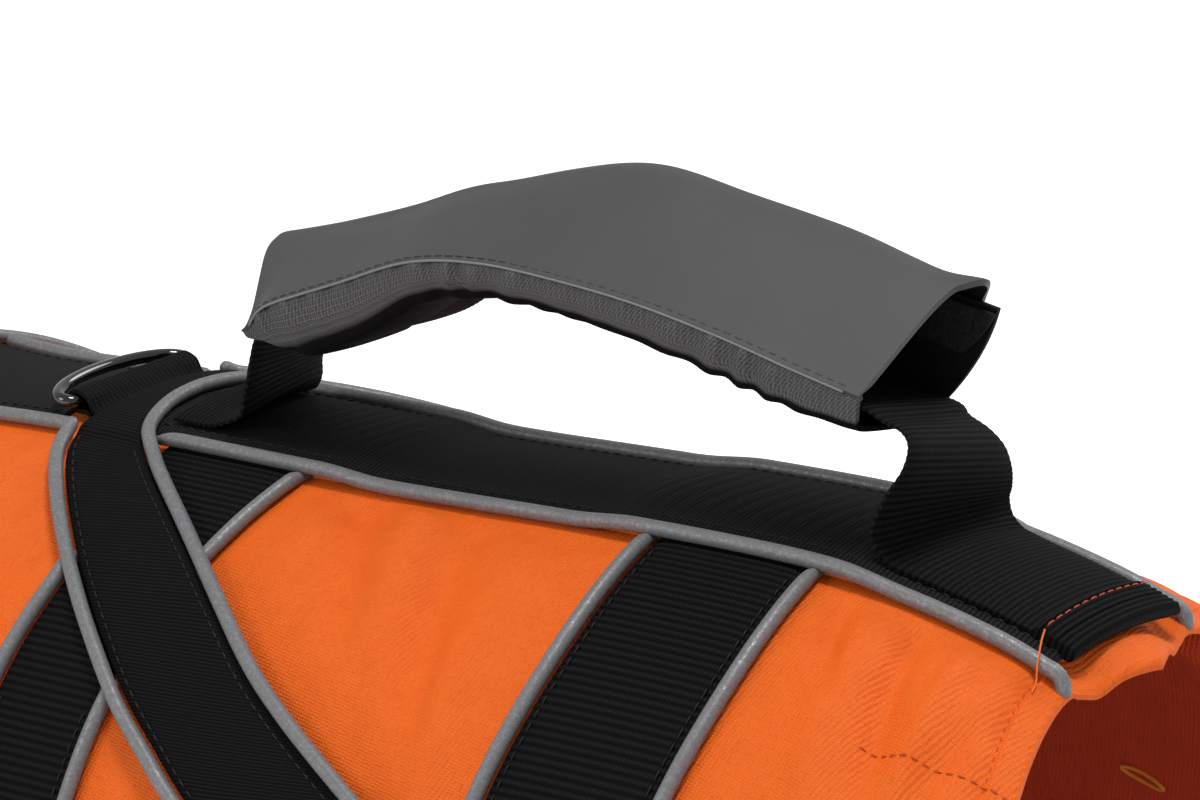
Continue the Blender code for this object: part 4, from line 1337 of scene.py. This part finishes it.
def grip_upper():
    """The grip's smooth upper, seam to far side, with soft dents and a rolled rear edge."""
    share = np.linspace(0, 1, GRIP_ROWS)
    x, z, pitch, seam, crest = sleeve_row(share)
    line = curve_through(over_line(seam * MM, crest * MM, far_sag(share)), UPPER_COLUMNS)
    t = np.linspace(0, 1, UPPER_COLUMNS)[None]
    s = share[:, None]
    dents = 0.35 * MM * np.sin(s * 21 + t * 5) * np.sin(t * math.pi) ** 2
    dents = dents + 0.5 * MM * np.exp(-(((s - 0.30) / 0.05) ** 2)) * np.sin(t * math.pi)
    edge = 0.35 * MM * np.exp(-((t / 0.012) ** 2))
    outer = offset_line(line, dents + edge)
    inner = offset_line(line, dents * 0.8 - SLEEVE_WALL * (0.25 + 0.75 * step(t / 0.06)))
    pull = end_pull(s, step(t / 0.36))
    curl = 5.0 * MM * np.exp(-(((1 - s) / 0.03) ** 2)) * np.exp(-(((t - 0.62) / 0.14) ** 2))
    back = FLAP_LEAN * step((t - 0.8) / 0.2) * step((s - 0.9) / 0.1)
    pull = pull + np.stack([curl - back, -0.4 * curl, 0.35 * curl], -1)

    def spread(shape):
        return sleeve_point(x[:, None], z[:, None], pitch[:, None], shape[..., 0], shape[..., 1]) + pull

    length = along_of(sleeve_point(x, z, pitch, 0.0, 0.0))
    width = float(along_of(line[GRIP_ROWS // 2]).max())
    uv = np.stack(np.broadcast_arrays(length[:, None], t * width), -1)
    made = wall_piece(
        "grip_upper_cloth", spread(inner), spread(outer), LAMINATE, "grip", uv,
        stands_for=("grip_upper",), inside_faces=(GRIP_ROWS - 1) * (UPPER_COLUMNS - 1),
    )


def grip_underside():
    """The grip's ripstop underside, gathered along its seam."""
    share = np.linspace(0, 1, GRIP_ROWS)[:, None]
    t = np.linspace(0, 1, UNDER_COLUMNS)[None]
    start = UNDERSIDE_START * step(t * UNDERSIDE_SPANS - 2)
    last = len(SLEEVE) - 1
    at = (start + share * (last - start)) / last
    x, z, pitch, seam, _ = sleeve_row(at)
    knots = under_line(seam * MM, far_sag(at))
    index = np.linspace(0, UNDERSIDE_SPANS, UNDER_COLUMNS)
    i = np.clip(index.astype(int), 0, UNDERSIDE_SPANS - 1)
    f = (index - i)[None, :, None]
    before, here = np.maximum(i - 1, 0), i
    after, beyond = i + 1, np.minimum(i + 2, UNDERSIDE_SPANS)
    column = np.arange(UNDER_COLUMNS)
    p0, p1, p2, p3 = (knots[:, column, k] for k in (before, here, after, beyond))
    line = between_points(p0, p1, p2, p3, f)
    gather = np.sin(at * 118 + 1.2 * np.sin(at * 31)) * np.exp(-((t - 0.22) / 0.16) ** 2)
    tuck = 0.28 * MM * np.sin(at * 210 + np.sin(at * 47) * 2) * np.exp(-((t - 0.1) / 0.09) ** 2)
    uneven = 0.6 + 0.4 * np.sin(at * 17 + 0.6)
    scallops = 0.4 * MM * np.sin(at * 112 + 1.6 * np.sin(at * 23)) * np.exp(-(((t - 0.46) / 0.10) ** 2))
    puckers = (0.85 * MM * gather * uneven + tuck + scallops * uneven) * step(at / 0.12) * step(t / 0.05)
    outer = offset_line(line, -puckers)
    inner = offset_line(line, UNDERSIDE_WALL - puckers)
    even = np.ones_like(t)
    pull = end_pull(share, 0.0) * np.stack([even, even, 1 - step(t * 2.2)], -1)

    def spread(shape):
        return sleeve_point(x, z, pitch, shape[..., 0], shape[..., 1]) + pull

    length = along_of(spread(line)[:, 5])
    width = float(along_of(line[GRIP_ROWS // 2]).max())
    uv = np.stack(np.broadcast_arrays(length[:, None], t * width), -1)
    made = wall_piece(
        "grip_underside_cloth", spread(inner), spread(outer), RIPSTOP, "grip_lining", uv,
        stands_for=("grip_underside",),
    )


grip_upper()
grip_underside()


FLAP_BENDS = 34 * MM  # length at the flap's rear over which it leans


def closure_flap():
    """The flap inside the right side of the grip, past its tail end, with hook tape on it."""
    first = FLAP_FROM / (len(SLEEVE) - 1)
    share = np.linspace(first, 1, 90)
    rows = [np.array(column) for column in sleeve_row(share)]
    pitch = math.radians(SLEEVE[-1][2])
    beyond = np.linspace(0, FLAP_OVERHANG, 14)[1:]
    rows[0] = np.concatenate([rows[0], rows[0][-1] + beyond * math.cos(pitch)])
    rows[1] = np.concatenate([rows[1], rows[1][-1] + beyond * math.sin(pitch)])
    for k in (2, 3, 4):
        rows[k] = np.concatenate([rows[k], np.full(len(beyond), rows[k][-1])])
    x, z, pitch, _, crest = (row[:, None] for row in rows)
    for name, finish, slot, side, low, high in (
        ("grip_flap", FLAP_CLOTH, "flap_cloth", 19.8 * MM, -7.0, 5.6),
        ("hook_tape", HOOK_TAPE, "hook_tape", 18.3 * MM, 9.0, 6.6),
    ):
        t = np.linspace(0, 1, 26)[None]
        rise = low * MM + ((crest - high) * MM - low * MM) * t
        along = np.arange(len(rows[0]))[:, None]
        curl = 0.25 * MM * np.sin(along / 9.0 + t * 3)
        top = crest[-1] * MM
        leans = FLAP_LEAN * (1 - t) * step((x - x[-1]) / FLAP_BENDS + 1) * (top - rise) / top
        slant = np.stack([-leans, 0 * leans, 0 * leans], -1)
        under = sleeve_point(x, z, pitch, side - WEB / 2 + curl, rise) + slant
        over = sleeve_point(x, z, pitch, side + WEB / 2 + curl, rise) + slant
        uv = np.stack(np.broadcast_arrays(x, rise), -1)
        made = wall_piece(f"{name}_cloth", under, over, finish, slot, uv, stands_for=(name,))


closure_flap()


# --- Ring ------------------------------------------------------------------------------------


def ring_route():
    """The lead ring's wire: a straight bar and a low arch, round its bar's middle."""
    bar = RING_HALF - RING_CORNER
    route = [(share * bar, 0.0) for share in np.linspace(-1, 1, 24)]
    for turn in np.radians([15, 30, 45, 60, 75]):
        route.append((bar + RING_CORNER * math.sin(turn), RING_CORNER * (1 - math.cos(turn))))
    arch = RING_DEPTH - RING_CORNER
    for turn in np.linspace(0, math.pi, 61):
        route.append((RING_HALF * math.cos(turn), RING_CORNER + arch * math.sin(turn)))
    for turn in np.radians([75, 60, 45, 30, 15]):
        route.append((-bar - RING_CORNER * math.sin(turn), RING_CORNER * (1 - math.cos(turn))))
    side, reach = np.array(route).T
    bar_at = skin(RING_BAR_X, 0.0, RING_SEAT)
    x = bar_at[0] - reach * math.cos(RING_PITCH)
    z = bar_at[2] + reach * math.sin(RING_PITCH)
    return np.stack([x, side, z], -1)


cord(
    "lead_ring_wire", ring_route(), RING_WIRE, GLOSS, "ring_metal", 24, True,
    stands_for=("lead_ring",), body="ring",
)


def ring_loop():
    """The webbing folded round the ring's bar: under it, round it, and back over it."""
    radius = RING_WIRE + GAP
    fold = radius + LOOP_WEB / 2
    upper = GAP + LOOP_WEB + GAP + LOOP_WEB / 2 - RING_SEAT
    lower = GAP + LOOP_WEB / 2 - RING_SEAT
    line = [(LOOP_TAIL, lower), (4 * MM, lower)]
    for turn in range(7):
        angle = math.radians(-90 - 30 * turn)
        line.append((fold * math.cos(angle), fold * math.sin(angle)))
    line += [(2.6 * MM, 1.5 * MM), (5.2 * MM, upper + 0.7 * MM), (7.2 * MM, upper), (LOOP_TAIL, upper)]
    flat = resampled([(a, 0.0, r) for a, r in line], 0.25 * MM)
    along, rise = flat[:, 0], flat[:, 2]
    way = unit(np.gradient(flat[:, [0, 2]], axis=0))
    place = along_of(flat)
    side = np.linspace(-LOOP_HALF, LOOP_HALF, 40)[None]
    fine = 0.08 * MM * (ribs(side, 1.4 * MM) - 0.5)
    grids = []
    for amount in (-LOOP_WEB / 2, LOOP_WEB / 2 + fine):
        x = along[:, None] - way[:, 1:] * amount
        up = rise[:, None] + way[:, :1] * amount
        follow = step((along[:, None] - 2 * MM) / (3 * MM))
        base = skin(RING_BAR_X + follow * x, follow * side, RING_SEAT)[..., 2]
        grids.append(np.stack(np.broadcast_arrays(RING_BAR_X + x, side, base + up), -1))
    uv = np.stack(np.broadcast_arrays(side, place[:, None]), -1)
    made = wall_piece("ring_loop_cloth", *grids, HANDLE_WEBBING, "webbing", uv, stands_for=("ring_loop",))


ring_loop()


# --- Closing straps --------------------------------------------------------------------------


def closing_strap(name, top_x, low_x, sewn, half):
    """A strap of two halves, from where each is sewn on its panel to the buckle below."""
    half_depth, half_width = float(smooth(SECTIONS, low_x, 2)), float(smooth(SECTIONS, low_x, 1))
    end = math.pi - math.asin((BUCKLE_HALF_LENGTH + 2 * MM) / half_width)
    last = (half_width + half_depth) / 2 * end - (half_depth - half_width) / 4 * math.sin(2 * end)
    down = np.linspace(sewn, last, int((last - sewn) / (0.45 * MM)))[:, None]
    middle = top_x + (low_x - top_x) * step((down - sewn) / (last - sewn))
    share = np.linspace(0, 1, 10)[None]
    x = middle + half * (2 * share - 1)
    for word, side in (("left", -1), ("right", 1)):
        under = skin(x, side * down, STRAP_SEAT)
        cords = 0.14 * MM * (ribs(down, HANDLE_RIB) - 0.5)
        over = skin(x, side * down, STRAP_SEAT + WEB * selvage(share) + cords)
        uv = np.stack(np.broadcast_arrays(down, x), -1)
        made = wall_piece(
            f"{name}_{word}_cloth", under, over, HANDLE_WEBBING, "webbing", uv,
            stands_for=(f"{name}_{word}",),
        )


for strap in CLOSING_STRAPS:
    closing_strap(*strap)
    for part in ("socket", "plug"):
        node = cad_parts[f"{strap[0]}_buckle_{part}"]
        node.data.materials.clear()
        node.data.materials.append(MOULDED)
        bevel = node.modifiers.new("rounded", "BEVEL")
        bevel.width = 0.9 * MM
        bevel.segments = 3
        bevel.limit_method = "ANGLE"


# --- Stitches --------------------------------------------------------------------------------


def normals_of(x, down):
    """Outward normals of the smooth surface."""
    return unit(skin(x, down, 1 * MM) - skin(x, down, 0.0))


def stitch_piece(name, runs, finish, slot):
    """Several lines of stitches as one piece."""
    points, faces = joined(runs)
    piece(name, points, faces, finish, slot)


STRIP_STITCHES_IN = 3.6 * MM
BAND_STITCHES_IN = 4.0 * MM
SOFT_BAND_STITCHES_IN = 3.8 * MM


def spine_stitches():
    """Two lines of stitches along each length of the spine strip."""
    runs = []
    for first, last in ((STRIP_FRONT + 3 * MM, RING_FOLD_FRONT), (STRIP_REAR_START, SPINE_REAR)):
        inset = SPINE_STRIP_HALF - STRIP_STITCHES_IN
        for down in (-inset, inset):
            x = np.linspace(first, last, 160)
            route = skin(x, down, GAP + WEB + lift(x))
            runs.append(stitch_run(route, normals_of(x, down)))
    return runs


def band_stitches(band, places, side, height, inset):
    """A line of stitches along each edge of a band, on one side."""
    runs = []
    for rear in (False, True):
        spot = edge_of(band, places, rear, inset)
        x, down = spot[:, 0], side * np.maximum(spot[:, 1], 1e-7)
        runs.append(stitch_run(skin(x, down, height(x, abs(down)) + WEB), normals_of(x, down)))
    return runs


black_runs = spine_stitches()
for side in (-1, 1):
    for band, start in ((CHEST_BAND, 0.095), (REAR_BAND, BAND_START)):
        places = places_down(band, start, BAND_LAST, 200)
        black_runs += band_stitches(band, places, side, flat_height, BAND_STITCHES_IN)
    places = np.linspace(2.4, len(YOKE) - 1.6, 300)
    black_runs += band_stitches(YOKE, places, side, yoke_height, SOFT_BAND_STITCHES_IN)
    places = places_down(NECK_BAND, 0.001, NECK_BAND_END, 150)
    black_runs += band_stitches(NECK_BAND, places, side, neck_height, SOFT_BAND_STITCHES_IN)
stitch_piece("black_stitches", black_runs, BLACK_THREAD, "webbing")


HEM_PITCH = 2.6 * MM
HEM_STITCH = 1.8 * MM
HEM_THREAD = 0.18 * MM


def hem_stitches():
    """Stitches inside the tail and neck edges, and the short seam across the tail of each side."""
    runs = []
    for side in (-1, 1):
        change = change_of(side)
        down = np.linspace(0.026, PANEL_BOTTOM - 4 * MM, 260)
        for edge, inset, start in ((2, -HEM_WIDTH - 0.3 * MM, 0.026), (1, 4.0 * MM, 0.155)):
            x = smooth(PANEL_EDGES, down, edge) + inset
            keep = down > start
            route = skin(x, side * down, relief(x, down, change))[keep]
            out = normals_of(x, side * down)[keep]
            runs.append(stitch_run(route, out, HEM_PITCH, HEM_STITCH, HEM_THREAD))
        x = np.linspace(0.110, 0.143, 60)
        down = 0.0610 - 0.0062 * step((x - 0.110) / 0.033)
        route = skin(x, side * down, relief(x, down, change) + 0.1 * MM)
        runs.append(stitch_run(route, normals_of(x, side * down), HEM_PITCH, HEM_STITCH, HEM_THREAD))
    return runs


EYELET_AT = (0.0920, 0.1325)


def eyelet():
    """An embroidered eyelet on the inside of the right panel, near the tail."""
    turn = np.linspace(0, 2 * math.pi, 33)[:-1]
    x = EYELET_AT[0] + 5.2 * MM * np.cos(turn)
    down = EYELET_AT[1] + 1.4 * MM * np.sin(turn) + 1.2 * MM * np.cos(turn)
    height = relief(x, down, RIGHT_CHANGE) - thickness(x, down)
    cord("eyelet_thread", skin(x, down, height - 1.3 * MM), 0.5 * MM, AMBER_THREAD, "shell_cloth", 8, True)


eyelet()
stitch_piece("hem_stitches", hem_stitches(), RUST_THREAD, "shell_cloth")


def grip_stitches():
    """The cord along the grip's seam, and the line of stitches above it, which it returns."""
    share = np.linspace(0.01, 0.99, 400)
    x, z, pitch, seam, _ = sleeve_row(share)
    pull = end_pull(share, 0.0)
    route = sleeve_point(x, z, pitch, SEAM_SIDE + 1.2 * MM, seam * MM + 0.75 * MM) + pull
    out = unit(sleeve_point(x, z, pitch, SEAM_SIDE - 1.5 * MM, seam * MM + 3.4 * MM) + pull - route)
    edge = sleeve_point(x, z, pitch, SEAM_SIDE - 0.05 * MM, seam * MM - 0.1 * MM) + pull
    cord("grip_seam_cord", resampled(edge[8::8], 1.2 * MM), 0.32 * MM, SEAM_THREAD, "grip", 8)
    return [stitch_run(route, out, pitch=2.9 * MM, length=2.3 * MM, radius=0.2 * MM)]


stitch_piece("grip_stitches", grip_stitches(), GREY_THREAD, "grip")

LOOSE_THREAD = [
    # x, down, height
    (0.1290, -0.0178, 5.0),
    (0.1302, -0.0208, 5.0),
    (0.1313, -0.0236, 4.3),
    (0.1320, -0.0258, 2.8),
    (0.1327, -0.0278, 0.8),
    (0.1331, -0.0300, 0.5),
]


def loose_thread():
    """A thread end that lies loose by the folded rear end of the handle."""
    x, down, height = np.array(LOOSE_THREAD).T
    route = resampled(skin(x, down, height * MM), 0.8 * MM)
    cord("loose_thread", route, 0.2 * MM, ORANGE_THREAD, "webbing", 8)


def handle_end_stitches():
    out = unit(np.tile([0.15, 0.0, 1.0], (len(HANDLE_STITCHES), 1)))
    return [stitch_run(HANDLE_STITCHES, out, pitch=2.9 * MM, length=2.4 * MM, radius=0.19 * MM)]


loose_thread()
stitch_piece("handle_end_stitches", handle_end_stitches(), RUST_THREAD, "webbing")


# --- Stage, light, camera --------------------------------------------------------------------


FLOOR_SIZE = 24.0
FLOOR_BELOW = 60 * MM


def plane(name, size, at):
    """A square of the stage."""
    half = size / 2
    mesh = bpy.data.meshes.new(name)
    corners = [(-half, -half, 0), (half, -half, 0), (half, half, 0), (-half, half, 0)]
    mesh.from_pydata(corners, [], [(0, 1, 2, 3)])
    mesh.materials.append(studio_white(f"{name}_white"))
    made = bpy.data.objects.new(name, mesh)
    made.location = at
    bpy.context.scene.collection.objects.link(made)


plane("floor", FLOOR_SIZE, (0, 0, float(cad_box[0][2]) - FLOOR_BELOW))


def area_light(name, at, aim, size, power):
    """A round lamp at a place, turned to a place, with its size in metres and its power in watts."""
    lamp = bpy.data.lights.new(name, "AREA")
    lamp.shape = "DISK"
    lamp.size = size
    lamp.energy = power
    made = bpy.data.objects.new(name, lamp)
    made.location = at
    way = np.array(aim, float) - np.array(at, float)
    yaw, flat = math.atan2(way[1], way[0]), math.hypot(way[0], way[1])
    made.rotation_euler = (math.atan2(flat, -way[2]), 0, yaw - math.pi / 2)
    bpy.context.scene.collection.objects.link(made)


area_light("key", (0.25, -0.05, 1.5), (0, 0, 0), 0.5, 15)
area_light("front", (-0.7, -1.4, 0.7), (0, 0, 0), 0.9, 7)
area_light("back", (0.3, 1.5, 1.0), (0, 0, 0), 0.8, 7)

world = bpy.data.worlds.new("studio")
bpy.context.scene.world = world
world.use_nodes = True
world.node_tree.nodes["Background"].inputs["Color"].default_value = (1, 1, 1, 1)
world.node_tree.nodes["Background"].inputs["Strength"].default_value = 0.42


def camera():
    lens = bpy.data.cameras.new("camera")
    lens.lens = CAMERA_LENS
    lens.sensor_width = SENSOR
    lens.clip_end = 50
    made = bpy.data.objects.new("camera", lens)
    made.rotation_mode = "QUATERNION"
    made.location = CAMERA_AT
    made.rotation_quaternion = camera_turn()
    bpy.context.scene.collection.objects.link(made)
    bpy.context.scene.camera = made


def camera_turn():
    """The camera's turn: round Z by its azimuth, tipped down, then rolled."""
    tipped = Euler((math.pi / 2 - CAMERA_DOWN, 0, CAMERA_AZIMUTH)).to_quaternion()
    rolled = Euler((0, 0, CAMERA_ROLL)).to_quaternion()
    return tipped @ rolled


camera()

bpy.context.scene.view_settings.view_transform = "Standard"
